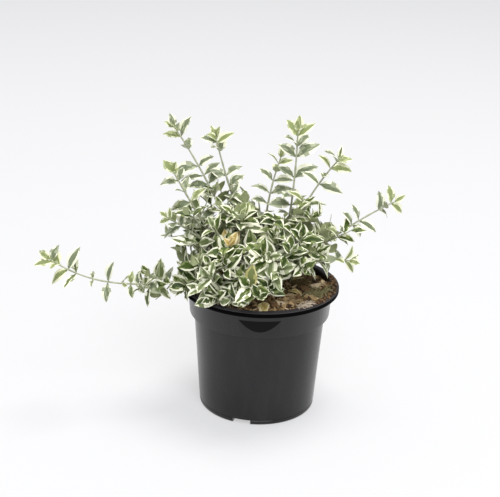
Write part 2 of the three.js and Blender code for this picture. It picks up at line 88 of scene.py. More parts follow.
def newMaterial(name, colour, roughness, specular=0.5):
    material = bpy.data.materials.new(name)
    material.use_nodes = True
    shader = material.node_tree.nodes["Principled BSDF"]
    shader.inputs["Base Color"].default_value = linear(colour)
    shader.inputs["Roughness"].default_value = roughness
    shader.inputs["Specular IOR Level"].default_value = specular
    return material, material.node_tree, shader


def addObject(name, data):
    # puts a mesh, a camera or a lamp in the scene
    thing = bpy.data.objects.new(name, data)
    bpy.context.scene.collection.objects.link(thing)
    return thing


def newObject(name, points, faces, edges=()):
    mesh = bpy.data.meshes.new(name)
    mesh.from_pydata([tuple(p) for p in points], list(edges), faces)
    mesh.update()
    return addObject(name, mesh)


def removeObject(thing):
    data = thing.data
    bpy.data.objects.remove(thing)
    bpy.data.meshes.remove(data)


def setAttribute(thing, name, kind, values, domain="POINT"):
    layer = thing.data.attributes.new(name, kind, domain)
    field = "vector" if kind == "FLOAT_VECTOR" else "value"
    layer.data.foreach_set(field, np.array(values).ravel())


def finished(thing, name, sharpDeg):
    # the evaluated mesh as a plain object with no modifiers, smooth but for its sharp edges
    graph = bpy.context.evaluated_depsgraph_get()
    mesh = bpy.data.meshes.new_from_object(thing.evaluated_get(graph), depsgraph=graph)
    removeObject(thing)
    mesh.name = name
    mesh.polygons.foreach_set("use_smooth", [True] * len(mesh.polygons))
    mesh.set_sharp_from_angle(angle=math.radians(sharpDeg))
    return addObject(name, mesh)


def keepPiece(piece, nodes=()):
    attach(piece, "root")
    if nodes:
        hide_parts(*nodes)
    print(f"  {piece.name}: {len(piece.data.polygons)} faces")


def addModifierTree(thing, tree, values):
    # inputs are set by their sockets' identifiers before the object is first evaluated
    modifier = thing.modifiers.new(tree.name, "NODES")
    modifier.node_group = tree
    for item in tree.interface.items_tree:
        if item.name in values:
            modifier[item.identifier] = values[item.name]


finishes = {
    "potBlack": "#0c0d0f",
    "potDust": "#1b1b1b",
    "potRoughness": (0.2, 0.32),
    # a darker black that paints the shade in the label recess and on the lip's side
    "paintedShadeBlack": "#060607",
    # a lighter grey that paints the light falling from above on the lip's top
    "lipTopPaintedLight": "#39373a",
    "compost": [(0.3, "#2b2015"), (0.44, "#5c482e"), (0.56, "#8d7650"), (0.7, "#c8b388")],
    "bark": [(0.3, "#6a604a"), (0.5, "#8a8268"), (0.68, "#a79f88")],
    "greenBark": [(0.3, "#959a7c"), (0.52, "#adb195"), (0.7, "#c6c7b1")],
}


def addNoise(tree, upright=1, **inputs):
    # noise in the piece's own frame, drawn out upright where upright is under 1
    place = addNode(tree, "ShaderNodeTexCoord").outputs["Object"]
    if upright < 1:
        stretch = {"Vector": place, "Scale": (1, 1, upright)}
        place = addNode(tree, "ShaderNodeMapping", inputs=stretch).outputs["Vector"]
    return addNode(tree, "ShaderNodeTexNoise", inputs={"Vector": place, **inputs}).outputs["Fac"]


def addRamp(tree, amount, stops, socket):
    addNode(tree, "ShaderNodeValToRGB", inputs={"Fac": amount}, stops=stops, to=socket)


def addRelief(tree, shader, height, strength, depth):
    # the depth is in millimetres
    relief = {"Height": height, "Strength": strength, "Distance": depth * mm}
    addNode(tree, "ShaderNodeBump", inputs=relief, to=shader.inputs["Normal"])


def mouldedPlastic():
    # Injection-moulded black polypropylene: near black with a half gloss, its mould's fine
    # orange peel, and a thin uneven film of dust that dulls the gloss.
    material, tree, shader = newMaterial("moulded_polypropylene", finishes["potBlack"], 0.4, 0.42)
    # the film of dust drifts over 15 to 20 mm, and it is streaked upright
    film = addNoise(tree, 0.35, Scale=60, Detail=6, Roughness=0.65)
    low, high = finishes["potRoughness"]
    dusted = [(0.42, finishes["potBlack"]), (0.8, finishes["potDust"])]
    addRamp(tree, film, dusted, shader.inputs["Base Color"])
    addRamp(tree, film, [(0.35, low), (0.7, high)], shader.inputs["Roughness"])
    # orange peel of about 1.2 mm, drawn coarser than the real 0.3 mm so that it shows
    addRelief(tree, shader, addNoise(tree, Scale=800, Detail=2), 0.25, 0.1)
    return material


def compostCrumb():
    # Composted bark and coir: matt and crumbly, dark in the low hollows between crumbs, which paints their
    # shade, and tan on the raised crumbs.
    material, tree, shader = newMaterial("composted_bark", "#453421", 0.95, 0.25)
    # crumbs of 2 to 4 mm
    crumbs = addNoise(tree, Scale=260, Detail=9, Roughness=0.72)
    # the same noise as the relief: low hollows dark as painted shade, raised crumbs tan
    addRamp(tree, crumbs, finishes["compost"], shader.inputs["Base Color"])
    addRelief(tree, shader, crumbs, 0.9, 1.2)
    return material


def twigBark(name, stops, roughness):
    # Thin bark of a young stem: satin, greyish, with fine cracks that run along the stem.
    material, tree, shader = newMaterial(name, "#7b7458", roughness, 0.35)
    # patches of 2 to 3 mm, stretched upright as the stems mostly stand
    grain = addNoise(tree, 0.4, Scale=420, Detail=6, Roughness=0.6)
    addRamp(tree, grain, stops, shader.inputs["Base Color"])
    addRelief(tree, shader, grain, 0.5, 0.3)
    return material


def plainFinish(name, colour, roughness, grain, depth, specular=0.4):
    # one base colour, with relief of a grain and a depth given in millimetres
    material, tree, shader = newMaterial(name, colour, roughness, specular)
    addRelief(tree, shader, addNoise(tree, Scale=1000 / grain, Detail=3), 0.5, depth)
    return material


mix = {"level": 134, "slope": -0.03, "lump": 1.3, "calmRadius": 25, "calmZ": 133.6, "wallRadius": 75.6}
potSize = {"lipRadius": 85, "collarTopRadius": 78, "wall": 1.5, "height": 140}
stemShape = {"height": 19, "footRadius": 6.2, "radius": 4.4, "topRadius": 3.8, "lean": 3.2, "steps": 24}
stems = {"left": (188, 15), "back": (82, 14), "right": (-26, 15)}
seats = [(-12, 8, 44), (-5.5, 7.5, 46), (2.2, 5.5, 60)]  # level, ring and least angle apart
boughShape = {"radius": 1.5, "tipRadius": 1.2, "endRadius": 0.7, "seatShare": 0.35}
tiers = [
    ("rim", 90, 152, [-148, -122, -98]),
    ("low", 76, 156, [40, 87, 133, 177]),
    ("middle", 64, 192, [-174, -126, -84, -42, 8, 62, 114]),
    ("top", 36, 224, [-134, -52, 98]),
]
tuft = {"room": 42, "leafLength": 52, "bow": [2, 9], "size": 1.13}
# name, stem, azimuth, reach, height, bow, leafFrom, twigs, size
shoots = [
    ("left_trailer", "left", -168.6, 223, 176, [0, -19], 0.3, [0.02, 0.1, 0.18], 1.06),
    ("upper_left_outer", "left", 174, 95, 306, [-7, 2], 0.4, [0.02, 0.2], 1.05),
    ("upper_left_inner", "back", -174, 51, 300, [6, 8], 0.42, [0.02, 0.18], 1.05),
    ("left_upper_side", "left", -165, 96, 268, [4, 2], 0.42, [0.04, 0.26], 1.02),
    ("left_side", "left", -161, 104, 222, [-2, 4], 0.5, [0.1, 0.4], 0.92),
    ("top_leader", "right", 17, 35, 305, [4, -4], 0.38, [0.02, 0.2], 1.06),
    ("top_left", "back", 57, 31, 272, [-12, 2], 0.36, [0.04, 0.26], 0.98),
    ("top_right", "right", -8, 76, 282, [-8, 4], 0.4, [0.02, 0.2], 1.06),
    ("right_arm", "right", 0, 138, 236, [-4, 6], 0.44, [0.04], 0.92),
    ("right_low", "right", -8, 94, 173, [-2, 10], 0.5, [], 0.92),
]
# each shoot's pairs of leaves: share of the leafy length, roll from the photo's plane, size
pairs = {
    "left_trailer": [
        (0.04, 8, 1.05), (0.12, 70, 1), (0.19, 20, 0.95), (0.26, 80, 0.95), (0.35, 60, 0.6), (0.41, 10, 0.65),
        (0.47, 95, 0.6), (0.58, 12, 1.05), (0.69, 60, 0.4), (0.81, 65, 1.05), (0.87, 10, 1), (0.93, 85, 0.95),
        (0.98, 20, 0.75),
    ],
    "upper_left_outer": [
        (0.2, 70, 1), (0.34, 15, 0.95), (0.44, 5, 1), (0.55, 0, 1), (0.74, 75, 0.85), (0.89, 0, 1),
        (0.95, 80, 0.7),
    ],
    "upper_left_inner": [
        (0.2, 80, 0.95), (0.31, 30, 0.95), (0.45, 5, 0.9), (0.79, 75, 0.9), (0.93, 5, 0.85), (0.98, 60, 0.7),
    ],
    "left_upper_side": [
        (0.2, 10, 0.95), (0.34, 80, 0.95), (0.5, 15, 1), (0.66, 70, 1), (0.85, 30, 0.8), (0.96, 80, 0.7),
    ],
    "left_side": [(0.28, 10, 0.95), (0.48, 80, 0.95), (0.66, 20, 1), (0.8, 85, 0.8), (0.93, 10, 0.6)],
    "top_leader": [
        (0.12, 60, 1), (0.22, 10, 1.1), (0.32, 75, 1), (0.52, 5, 1.05), (0.74, 0, 1.05), (0.85, 55, 1),
        (0.96, 10, 0.95),
    ],
    "top_left": [
        (0.22, 70, 0.9), (0.36, 20, 0.95), (0.5, 5, 1), (0.68, 5, 1.1), (0.8, 80, 0.8), (0.92, 10, 0.9),
    ],
    "top_right": [
        (0.2, 70, 1), (0.31, 15, 1.1), (0.62, 0, 1.1), (0.74, 80, 0.7), (0.86, 0, 1.1), (0.97, 30, 0.9),
    ],
    "right_arm": [
        (0.06, 60, 0.9), (0.16, 10, 0.95), (0.26, 75, 0.9), (0.4, 10, 0.95), (0.5, 5, 1), (0.78, 10, 0.95),
        (0.84, 75, 0.6), (0.95, 5, 0.85),
    ],
    "right_low": [(0.35, 5, 1), (0.62, 80, 0.9), (0.88, 10, 0.9)],
}  # fmt: skip
# angle of the leaves to the shoot from foot to tip, and the size of the last pair
pairShape = {
    "usual": (90, 58, 0.62),
    "left_side": (90, 58, 0.5),
    "left_trailer": (118, 72, 0.6),
    "top_leader": (100, 52, 0.72),
    "top_left": (100, 66, 0.62),
    "top_right": (98, 74, 0.62),
    "right_arm": (92, 62, 0.66),
}
sags = {"left_trailer": (-0.1, 2.2)}
shootRoom = 26
# the mound's lower line in front: along the rim, then up round the bare mix at the right, with
# two places where a spray hangs lower over it
openFront = {
    "x": [-95, -80, -77, -64, -60, -14, -9, -5, 8, 12, 20, 24, 29, 33, 45, 51, 54, 62, 65, 69, 77, 80, 95],
    "z": [
        124, 123, 112, 113, 115, 113, 117, 124, 125, 118, 119, 127,
        136, 146, 151, 150, 135, 135, 149, 142, 142, 150, 151,
    ],
    "toX": 95,
    "toY": 55,
    "ragged": 5,
}  # fmt: skip
# the mound's top as the photo shows it: x and z, with what stands further back seen higher
crownTop = {
    "x": [-120, -103, -87, -76, -60, -50, -39, -27, -17, -10, 0, 14, 28, 37, 50, 60, 73, 89, 110],
    "z": [205, 213, 226, 245, 249, 254, 255, 252, 244, 233, 219, 217, 219, 240, 241, 232, 225, 219, 212],
    "back": 0.374,
}
rule = {
    "tries": 7,
    "twigAngle": 52,
    "twigSpread": 50,
    "twigLength": 26,
    "twigThick": (0.75, 0.45),
    "leafAngles": (84, 56),
    "leafSpread": 34,
    "outward": 0.6,
    "heartZ": 160,
    "lift": 0.2,
    "mingle": 0.5,
    # the finer growth that the solids leave out
    "tuftNodes": [0.34, 0.54, 0.72, 0.87],
    "tuftTwigs": [0.02, 0.2, 0.38, 0.58],
    "twigNodes": [0.38, 0.66, 0.9],
    "tipSizes": (0.66, 0.5),
    "tipAngle": 20,
    # the share of a spray's leaves in its own tint; and for a shoot, from where its leaves are
    # mostly the youngest tint, their share there and below, and the share of pairs whose other
    # leaves are the second youngest
    "ownTint": 0.8,
    "tipFrom": 0.85,
    "tipYoung": 0.75,
    "footYoung": 0.15,
    "secondYoung": 0.75,
    "turned": 0.75,
    "turnedOf": {"top_leader": 0.5, "top_right": 0.42, "top_left": 0.55, "right_arm": 0.6},
}
# sprays of another tint where the photo shows them, near the front: x, height with what stands
# further back seen higher, reach and tint
tinted = [
    (-31, 187, 6, 5),
    (-8, 145, 4, 6),
    (55, 146, 7, 6),
    (66, 197, 10, 4),
    (3, 191, 8, 4),
    (-15, 224, 9, 4),
    (-66, 163, 7, 4),
]
leaf = {"length": 23.5, "width": 13.6, "thickness": 0.34, "broad": 14, "slender": 10}


def stream(seed):
    # a seeded stream of numbers from 0 to 1, the same one as the solids grow by
    full = 0xFFFFFFFF
    state = seed & full

    def draw():
        nonlocal state
        state = (state + 0x6D2B79F5) & full
        mixed = ((state ^ (state >> 15)) * (state | 1)) & full
        mixed = ((mixed + (((mixed ^ (mixed >> 7)) * (mixed | 61)) & full)) & full) ^ mixed
        return (mixed ^ (mixed >> 14)) / 4294967296

    return draw


def polar(azimuth, reach, height):
    angle = math.radians(azimuth)
    return Vector((reach * math.cos(angle), reach * math.sin(angle), height))


def turning(z, x=0, y=0):
    # turns about y, then x, then z, in radians
    return Matrix.Rotation(z, 3, "Z") @ Matrix.Rotation(x, 3, "X") @ Matrix.Rotation(y, 3, "Y")


def smooth(value, low, high):
    share = min(1, max(0, (value - low) / (high - low)))
    return share * share * (3 - 2 * share)


def mixHeight(x, y):
    r = math.hypot(x, y)
    outside = smooth(r, mix["calmRadius"], mix["calmRadius"] + 16)
    lumps = math.sin(x * 0.21 + 1.3) * math.cos(y * 0.17) + 0.6 * math.sin(x * 0.11 - y * 0.32)
    fade = 1 - min(1, r / mix["wallRadius"]) ** 8
    rough = mix["lump"] * lumps * fade + mix["level"] - mix["calmZ"] + mix["slope"] * y
    return mix["calmZ"] + outside * rough


class Line:
    # a line through points, read by shares of its count of lengths
    def __init__(self, knots):
        self.knots = [Vector(k) for k in knots]
        self.steps = len(knots) - 1

    def point(self, share):
        i = min(self.steps - 1, int(share * self.steps))
        return self.knots[i].lerp(self.knots[i + 1], share * self.steps - i)

    def way(self, share):
        i = min(self.steps - 1, int(share * self.steps))
        return (self.knots[i + 1] - self.knots[i]).normalized()


def across(line, share, turn):
    # a direction across a line that lies in one plane, turned about the line
    start = line.way(0)
    normal = start.cross(line.way(1))
    if normal.length < 1e-3:
        normal = start.cross(up)
    if normal.length < 1e-3:
        normal = Vector((1, 0, 0))
    return Matrix.Rotation(turn, 3, line.way(share)) @ normal.normalized()


def apart(a, b):
    return abs((a - b + 540) % 360 - 180)


def stemTop(name):
    azimuth, reach = stems[name]
    return polar(azimuth, reach + stemShape["lean"], mix["calmZ"] + 0.3 + stemShape["height"])


def massPlan():
    # every leafy mass of the plant; a tuft grows on the stem whose bearing is nearest to its own
    masses = []
    for name, reach, height, azimuths in tiers:
        for i, azimuth in enumerate(azimuths):
            stem = min(stems, key=lambda s: apart(azimuth, stems[s][0]))
            mass = {"name": f"{name}_tuft_{i + 1}", "stem": stem, "azimuth": azimuth, "reach": reach}
            mass.update(height=height, kind="foliage", nodes=rule["tuftNodes"], twigs=rule["tuftTwigs"], **tuft)
            masses.append(mass)
    names = ["name", "stem", "azimuth", "reach", "height", "bow", "leafFrom", "twigs", "size"]
    for shoot in shoots:
        mass = dict(zip(names, shoot))
        mass.update(kind="shoot", room=shootRoom)
        masses.append(mass)
    for i, mass in enumerate(masses):
        mass["seed"] = 101 + 17 * i
        mass["turn"] = stream(mass["seed"] + 1)() * math.pi
    return masses


def seatRow(row, head, level):
    z, ring, least = level
    start = row[0]["bearing"]
    for mass in row:
        off = mass["bearing"] - start
        mass["angle"] = start + math.atan2(math.sin(off), math.cos(off))
    row.sort(key=lambda m: m["angle"])
    for _ in range(60):
        for one, two in zip(row, row[1:]):
            lack = math.radians(least) - (two["angle"] - one["angle"])
            if lack > 0:
                one["angle"] -= lack / 2
                two["angle"] += lack / 2
    for mass in row:
        mass["seat"] = head + Vector((math.cos(mass["angle"]), math.sin(mass["angle"]), 0)) * ring
        mass["seat"].z += z
        mass["core"] = head + up * min(z, -1)


def addSeats(masses):
    for name in stems:
        head = stemTop(name)
        carried = [mass for mass in masses if mass["stem"] == name]
        for mass in carried:
            away = polar(mass["azimuth"], mass["reach"], mass["height"]) - head
            mass["rise"] = away.z / math.hypot(away.x, away.y)
            mass["bearing"] = math.atan2(away.y, away.x)
        carried.sort(key=lambda m: m["rise"])
        count = math.ceil(len(carried) / len(seats))
        for k, level in enumerate(seats):
            if carried[k * count : (k + 1) * count]:
                seatRow(carried[k * count : (k + 1) * count], head, level)


def addCurves(masses):
    # each mass hangs on one curve from inside its stem to its tip: bough first, then leafy leader
    for mass in masses:
        foot = mass["core"].lerp(mass["seat"], boughShape["seatShare"])
        tip = polar(mass["azimuth"], mass["reach"], mass["height"])
        bow = polar(mass["azimuth"], *mass["bow"])
        early, late = sags.get(mass["name"], (4 / 3, 4 / 3))
        first = foot.lerp(tip, 1 / 3) + bow * early
        second = foot.lerp(tip, 2 / 3) + bow * late

        def at(t):
            s = 1 - t
            return foot * s**3 + first * (3 * s * s * t) + second * (3 * s * t * t) + tip * t**3

        path = [at(i / 40) for i in range(41)]
        length = sum((b - a).length for a, b in zip(path, path[1:]))
        start = mass.get("leafFrom") or max(0.3, 1 - mass["leafLength"] / length)
        steps = 14 if "leafFrom" in mass else 7
        mass["bough"] = Line([at(start * i / 10) for i in range(11)])
        mass["leader"] = Line([at(start + (1 - start) * i / steps) for i in range(steps + 1)])
        shares = [0, 0.25, 0.5, 0.75, 1] if "leafFrom" in mass else [0.45, 1]
        mass["line"] = [mass["leader"].point(share) for share in shares]


plan = massPlan()
addSeats(plan)
addCurves(plan)

# every space as a row of straight lengths, for testing points against all of them at once
lengths = [
    (k, *a, *(b - a), mass["room"])
    for k, mass in enumerate(plan)
    for a, b in zip(mass["line"], mass["line"][1:] or mass["line"])
]
lengths = np.array(lengths)
owners = lengths[:, 0].astype(int)


def depths(point):
    # how deep a point lies in each mass's space: 0 on its line, 1 at its edge
    away = np.array(point) - lengths[:, 1:4]
    run = lengths[:, 4:7]
    t = np.clip((away * run).sum(1) / (run * run).sum(1), 0, 1)
    far = np.linalg.norm(away - run * t[:, None], axis=1) / lengths[:, 7]
    nearest = np.full(len(plan), np.inf)
    np.minimum.at(nearest, owners, far)
    return nearest


def touchesPot(p):
    r = math.hypot(p.x, p.y)
    if r > potSize["lipRadius"] + 1:
        return False
    if r > potSize["collarTopRadius"] - potSize["wall"] - 1:
        return p.z < potSize["height"] + 1
    return p.z < mixHeight(p.x, p.y) + 2


def overOpenFront(p):
    o = openFront
    if not o["x"][0] < p.x < o["toX"] or p.y > o["toY"]:
        return False
    line = float(np.interp(p.x, o["x"], o["z"])) + o["ragged"] * noise.noise(p * 0.09)
    return p.z + crownTop["back"] * p.y < line


def aboveCrown(p):
    return p.z + crownTop["back"] * p.y > float(np.interp(p.x, crownTop["x"], crownTop["z"]))


def fits(points, index, crowned=True):
    for p in points:
        if touchesPot(p) or overOpenFront(p) or (crowned and aboveCrown(p)):
            return False
        deep = depths(p)
        own = deep[index]
        deep[index] = np.inf
        if own > 1 or deep.min() < own - rule["mingle"]:
            return False
    return True


class Thicket:
    # what has grown so far, in cells, so that nothing new grows through it
    def __init__(self):
        self.cells = {}
        self.cell = 14

    def around(self, points):
        low = [min(p[k] for p in points) // self.cell for k in range(3)]
        high = [max(p[k] for p in points) // self.cell for k in range(3)]
        spans = [range(int(a), int(b) + 1) for a, b in zip(low, high)]
        return [(x, y, z) for x in spans[0] for y in spans[1] for z in spans[2]]

    def blocked(self, points, faces):
        body = BVHTree.FromPolygons(points, faces)
        seen = set()
        for key in self.around(points):
            for other in self.cells.get(key, []):
                if id(other) not in seen and body.overlap(other):
                    return True
                seen.add(id(other))
        return False

    def add(self, points, faces):
        body = BVHTree.FromPolygons(points, faces)
        for key in self.around(points):
            self.cells.setdefault(key, []).append(body)


thicket = Thicket()
leafFaces = [(0, 1, 4), (1, 2, 4), (2, 3, 4), (3, 0, 4)]
ribFaces = [(0, 1, 2)]


def outwardFrom(point):
    return Vector((point.x, point.y, (point.z - rule["heartZ"]) * 0.8)).normalized()


def leafOn(line, share, thick, radial, angle, size, draw, turned=None):
    # one leaf on a stem, its upper face turned outwards and to the light
    end = line.way(min(share, 0.999))
    tilt = math.radians(angle + rule["leafSpread"] * (draw() - 0.5))
    along = end * math.cos(tilt) + radial * math.sin(tilt)
    root = line.point(share) + radial * (thick * 0.6)
    along.z += rule["lift"] * (0.6 + 0.8 * draw())
    along.normalize()
    face = end + outwardFrom(root)
    face += Vector((0.5 * (draw() - 0.5), 0.5 * (draw() - 0.5), 0.5 + 0.3 * draw()))
    if turned:
        face = end * 0.6 + Vector((0.4 * (draw() - 0.5), -turned * (0.3 + 1.2 * draw()), 0.5))
    face -= along * face.dot(along)
    face.normalize()
    grown = size * (0.74 + 0.38 * draw())
    return {"root": root, "along": along, "face": face, "size": grown}


def leafPoints(one):
    # base, two sides, tip and middle of the blade, a little shorter than the leaf at its base
    side = one["along"].cross(one["face"])
    long, wide = leaf["length"] * one["size"], leaf["width"] * one["size"]

    def at(share, aside, above):
        return one["root"] + one["along"] * (share * long) + side * (aside * wide) + one["face"] * above

    raised = 0.1 * wide
    ends = at(0.14, 0, 0), at(0.96, 0, -0.05 * long)
    return [ends[0], at(0.55, 0.44, raised), ends[1], at(0.55, -0.44, raised), at(0.52, 0, 0.03 * long)]


grownLeaves = []
grownTwigs = []


def ribPoints(a, b):
    # a sliver along a stem's length, to keep leaves from growing through it
    return [a, b, (a + b) / 2 + Vector((0.15, 0.1, 0.12))]


def growTwig(line, thick, kind, mass):
    grownTwigs.append({"line": line, "thick": thick, "kind": kind, "stem": mass["stem"]})
    for a, b in zip(line.knots, line.knots[1:]):
        thicket.add(ribPoints(a, b), ribFaces)


def tintAt(p, dealt):
    high = p.z + crownTop["back"] * p.y
    for x, z, reach, tint in tinted:
        if p.y < 25 and math.hypot(p.x - x, high - z) < reach:
            return tint
    return dealt


def growLeaf(index, tint, *where, paired=False):
    # the pairs of a shoot stand clear of the mound and turn more to the light in front
    turned = rule["turnedOf"].get(plan[index]["name"], rule["turned"]) if paired else None
    for _ in range(rule["tries"]):
        one = leafOn(*where, turned=turned)
        points = leafPoints(one)
        if not fits(points[1:], index, not paired) or thicket.blocked(points, leafFaces):
            continue
        thicket.add(points, leafFaces)
        one.update(mass=index, tint=tintAt(points[4], tint()), kind=plan[index]["kind"])
        grownLeaves.append(one)
        return


def growLeaves(index, line, thick, nodes, turn, size, draw, tint):
    # crossed pairs of leaves at the nodes of a stem or twig, closing up to a small tip pair
    wide, close = rule["leafAngles"]
    for i, node in enumerate(nodes):
        for half in (0, 2):
            radial = across(line, node, turn + (i + half) * math.pi / 2)
            angle = wide + (close - wide) * node
            growLeaf(index, tint, line, node, thick, radial, angle, size * (1.06 - 0.22 * node), draw)
    for half, small in zip((0, 2), rule["tipSizes"]):
        radial = across(line, 1, turn + (len(nodes) + half) * math.pi / 2)
        growLeaf(index, tint, line, 1, thick * 0.4, radial, rule["tipAngle"], size * small, draw)


def growPairs(index, tintOf, draw):
    # a shoot's pairs stand where the photo shows them, wide below and closing to the tip
    mass = plan[index]
    line, size = mass["leader"], mass["size"]
    wide, close, last = pairShape.get(mass["name"], pairShape["usual"])
    tip = (1, pairs[mass["name"]][-1][1] + 90, last)
    for share, roll, grown in pairs[mass["name"]] + [tip]:
        way = line.way(min(share, 0.999))
        flat = way.cross(Vector((0, 1, 0))).normalized()
        tint = tintOf(share)
        for half in (0, 180):
            turn = math.radians(roll + half + 24 * (draw() - 0.5))
            radial = Matrix.Rotation(turn, 3, way) @ flat
            angle = rule["tipAngle"] if share == 1 else wide + (close - wide) * share
            thick = boughShape["endRadius"]
            growLeaf(index, tint, line, share, thick, radial, angle, size * grown, draw, paired=True)


def twigFrom(line, share, radial, draw, length):
    tilt = math.radians(rule["twigAngle"] + rule["twigSpread"] * (draw() - 0.5))
    way = line.way(share) * math.cos(tilt) + radial * math.sin(tilt)
    root = line.point(share)
    out = outwardFrom(root)
    way = (way + out * (rule["outward"] * draw())).normalized()
    long = length * (1.15 - 0.4 * share) * (0.7 + 0.5 * draw())
    bend = (out + up) * (0.12 * long)
    return Line([root + way * (long * t) + bend * (t * t) for t in (0, 0.25, 0.5, 0.75, 1)])


def growMass(index):
    mass = plan[index]
    draw = stream(mass["seed"])
    leader, turn, size = mass["leader"], mass["turn"], mass["size"]
    young = mass["kind"] == "shoot"

    def sprayTint():
        # dealt out by spray: 0 to 2 are the mound's greens, 3 and 4 are young and yellower
        base = draw()
        return lambda: int(base * 3) if draw() < rule["ownTint"] else int(draw() * 3)

    def youngTint(place):
        base = draw()
        young = rule["tipYoung"] if place > rule["tipFrom"] else rule["footYoung"]
        return lambda: 4 if draw() < young else (3 if base < rule["secondYoung"] else 2)

    if young:
        growPairs(index, youngTint, draw)
    else:
        growLeaves(index, leader, 1, mass["nodes"], turn + math.pi / 4, size, draw, sprayTint())
    for i, share in enumerate(mass["twigs"]):
        for half in (0, 2):
            radial = across(leader, share, turn + math.pi / 4 + (i + half) * math.pi / 2)
            for _ in range(rule["tries"]):
                line = twigFrom(leader, share, radial, draw, rule["twigLength"])
                path = [line.point(t) for t in (0.3, 0.65, 1)]
                if not fits(path, index):
                    continue
                if thicket.blocked(ribPoints(line.point(0.25), line.point(1)), ribFaces):
                    continue
                growTwig(line, rule["twigThick"], "green", mass)
                grown = 1.05 if young else size
                growLeaves(index, line, 0.6, rule["twigNodes"], turn + math.pi / 4, grown, draw, sprayTint())
                break


for mass in plan:
    growTwig(mass["bough"], (boughShape["radius"], boughShape["tipRadius"]), "woody", mass)
    growTwig(mass["leader"], (boughShape["tipRadius"], boughShape["endRadius"]), "green", mass)
for index in [i for i, m in enumerate(plan) if m["kind"] == "shoot"]:
    growMass(index)
for index in [i for i, m in enumerate(plan) if m["kind"] == "foliage"]:
    growMass(index)
print(f"grown: {len(grownLeaves)} leaves on {len(grownTwigs)} stems and twigs")


# share of the length and of the half width: a short stalk, then a blunt elliptic blade
leafOutline = [(0, 0), (0.12, 0.34), (0.27, 0.84), (0.46, 1), (0.66, 0.86), (0.84, 0.5), (1, 0)]
# what each shape of leaf draws between: the fold is a slope, the twist is in radians, and the
# others are shares of the length or the half width. Broad leaves are the mound's, with three
# kinds of margin: narrow, wide, and nearly all cream.
leafForm = {
    "fold": (0.12, 0.45),
    "arch": (0.02, 0.09),
    "droop": (0.02, 0.16),
    "twist": (-0.25, 0.25),
    "lean": (-0.1, 0.1),
    "broadWidth": (0.86, 1.08),
    "slenderWidth": (0.94, 1.16),
    "nearTip": (0.34, 0.56),
    "broadHearts": [(0.6, 0.86), (0.44, 0.74), (0.22, 0.5)],
    "slenderHeart": (0.42, 0.73),
    # the share of faces that are cream, and up to which share they are pale; the rest are green
    "broadZones": {"margin": (0.86, 1), "between": (0.14, 0.58), "end": (0.5, 1), "heart": (0, 0.14)},
    "slenderZones": {"margin": (0.7, 1), "between": (0, 0.5), "end": (0, 0.5), "heart": (0, 0.14)},
}


def leafShape(number):
    # 48 faces: seven lines of points along the upper side, three along the underside
    pick = random.Random(500 + number)
    broad = number < leaf["broad"]
    drawn = ("fold", "arch", "droop", "twist", "lean")
    fold, arch, droop, twist, lean = [pick.uniform(*leafForm[name]) for name in drawn]
    kind = (number * 5) % leaf["broad"] // 6
    low, high = leafForm["broadHearts"][kind] if broad else leafForm["slenderHeart"]
    slim = pick.uniform(*leafForm["broadWidth" if broad else "slenderWidth"])
    sharp = pick.uniform(*leafForm["nearTip"])
    heart = [pick.uniform(low, high), pick.uniform(low, high)]
    long, half = leaf["length"], leaf["width"] / 2
    points, rows = [(0, 0, 0)], []
    for i, (t, w) in enumerate(leafOutline[1:-1], 1):
        for k in (0, 1):
            heart[k] = min(high, max(low, heart[k] + pick.uniform(-0.22, 0.22)))
        w = sharp if t == leafOutline[-2][0] else w
        edges = [w * half * slim * (1 + pick.uniform(-0.1, 0.1)) for _ in (0, 1)]
        inner = [h * pick.uniform(0.35, 0.65) for h in heart]
        columns = [-1, -heart[0], -inner[0], 0, inner[1], heart[1], 1]
        rise = arch * math.sin(math.pi * t) * long - droop * t**3 * long

        def at(c, down):
            reach = edges[0] if c < 0 else edges[1]
            x = c * reach
            z = rise + fold * abs(x) * (1 - 0.42 * abs(c) ** 3) - down
            turn = twist * t
            return (
                x * math.cos(turn) - z * math.sin(turn) + lean * t * t * long,
                t * long - 0.12 * fold * abs(x),
                z * math.cos(turn) + x * math.sin(turn),
            )

        rows.append(len(points))
        points += [at(c, 0) for c in columns] + [at(0, leaf["thickness"])]
    last = len(points)
    points.append((lean * long, long, -droop * long))
    faces, zones = [], []

    def add(face, zone):
        faces.append(face)
        zones.append(zone)

    def zoneOf(j, end):
        where = "margin" if j in (0, 5) else "heart" if j in (2, 3) else "end" if end else "between"
        cream, pale = leafForm["broadZones" if broad else "slenderZones"][where]
        chance = pick.random()
        return 2 if chance < cream else 1 if chance < pale else 0

    for i, row in enumerate(rows):
        above = rows[i + 1] if i + 1 < len(rows) else None
        for j in range(6):
            if i == 0:
                add((0, row + j + 1, row + j), 1 if j in (0, 5) else 0)
            if above:
                add((row + j, row + j + 1, above + j + 1, above + j), zoneOf(j, False))
            else:
                add((row + j, row + j + 1, last), zoneOf(j, True))
        for a, b in ((0, 7), (7, 6)):  # the underside shares both edges with the upper side
            if i == 0:
                add((0, row + a, row + b), 3)
            if above:
                add((row + b, row + a, above + a, above + b), 3)
            else:
                add((row + b, row + a, last), 3)
    shape = newObject(f"leaf_{number:02d}", [Vector(p) * mm for p in points], faces)
    setAttribute(shape, "zone", "INT", zones, "FACE")
    return shape


# Living leaf: waxy upper side with a soft gloss, duller below. One row for each tint, dealt out
# by spray: green heart, paler green, margin, underside.
leafTints = [
    ("#37481c", "#76834f", "#f6f7dd", "#a0a97f"),
    ("#4c5e28", "#8b975e", "#f7f7de", "#abb388"),
    ("#6b774c", "#a0aa82", "#f9fae2", "#b3bb9a"),
    ("#7a8467", "#a8af92", "#f6f7df", "#adb497"),
    ("#8e9a66", "#b4bd8b", "#f5f6d6", "#bac297"),
    ("#b79f5c", "#d6c384", "#efe4bb", "#cdb982"),
    ("#76804a", "#b3b070", "#ece2a4", "#b9b487"),
]
leafZones = ["heart", "pale", "margin", "under"]


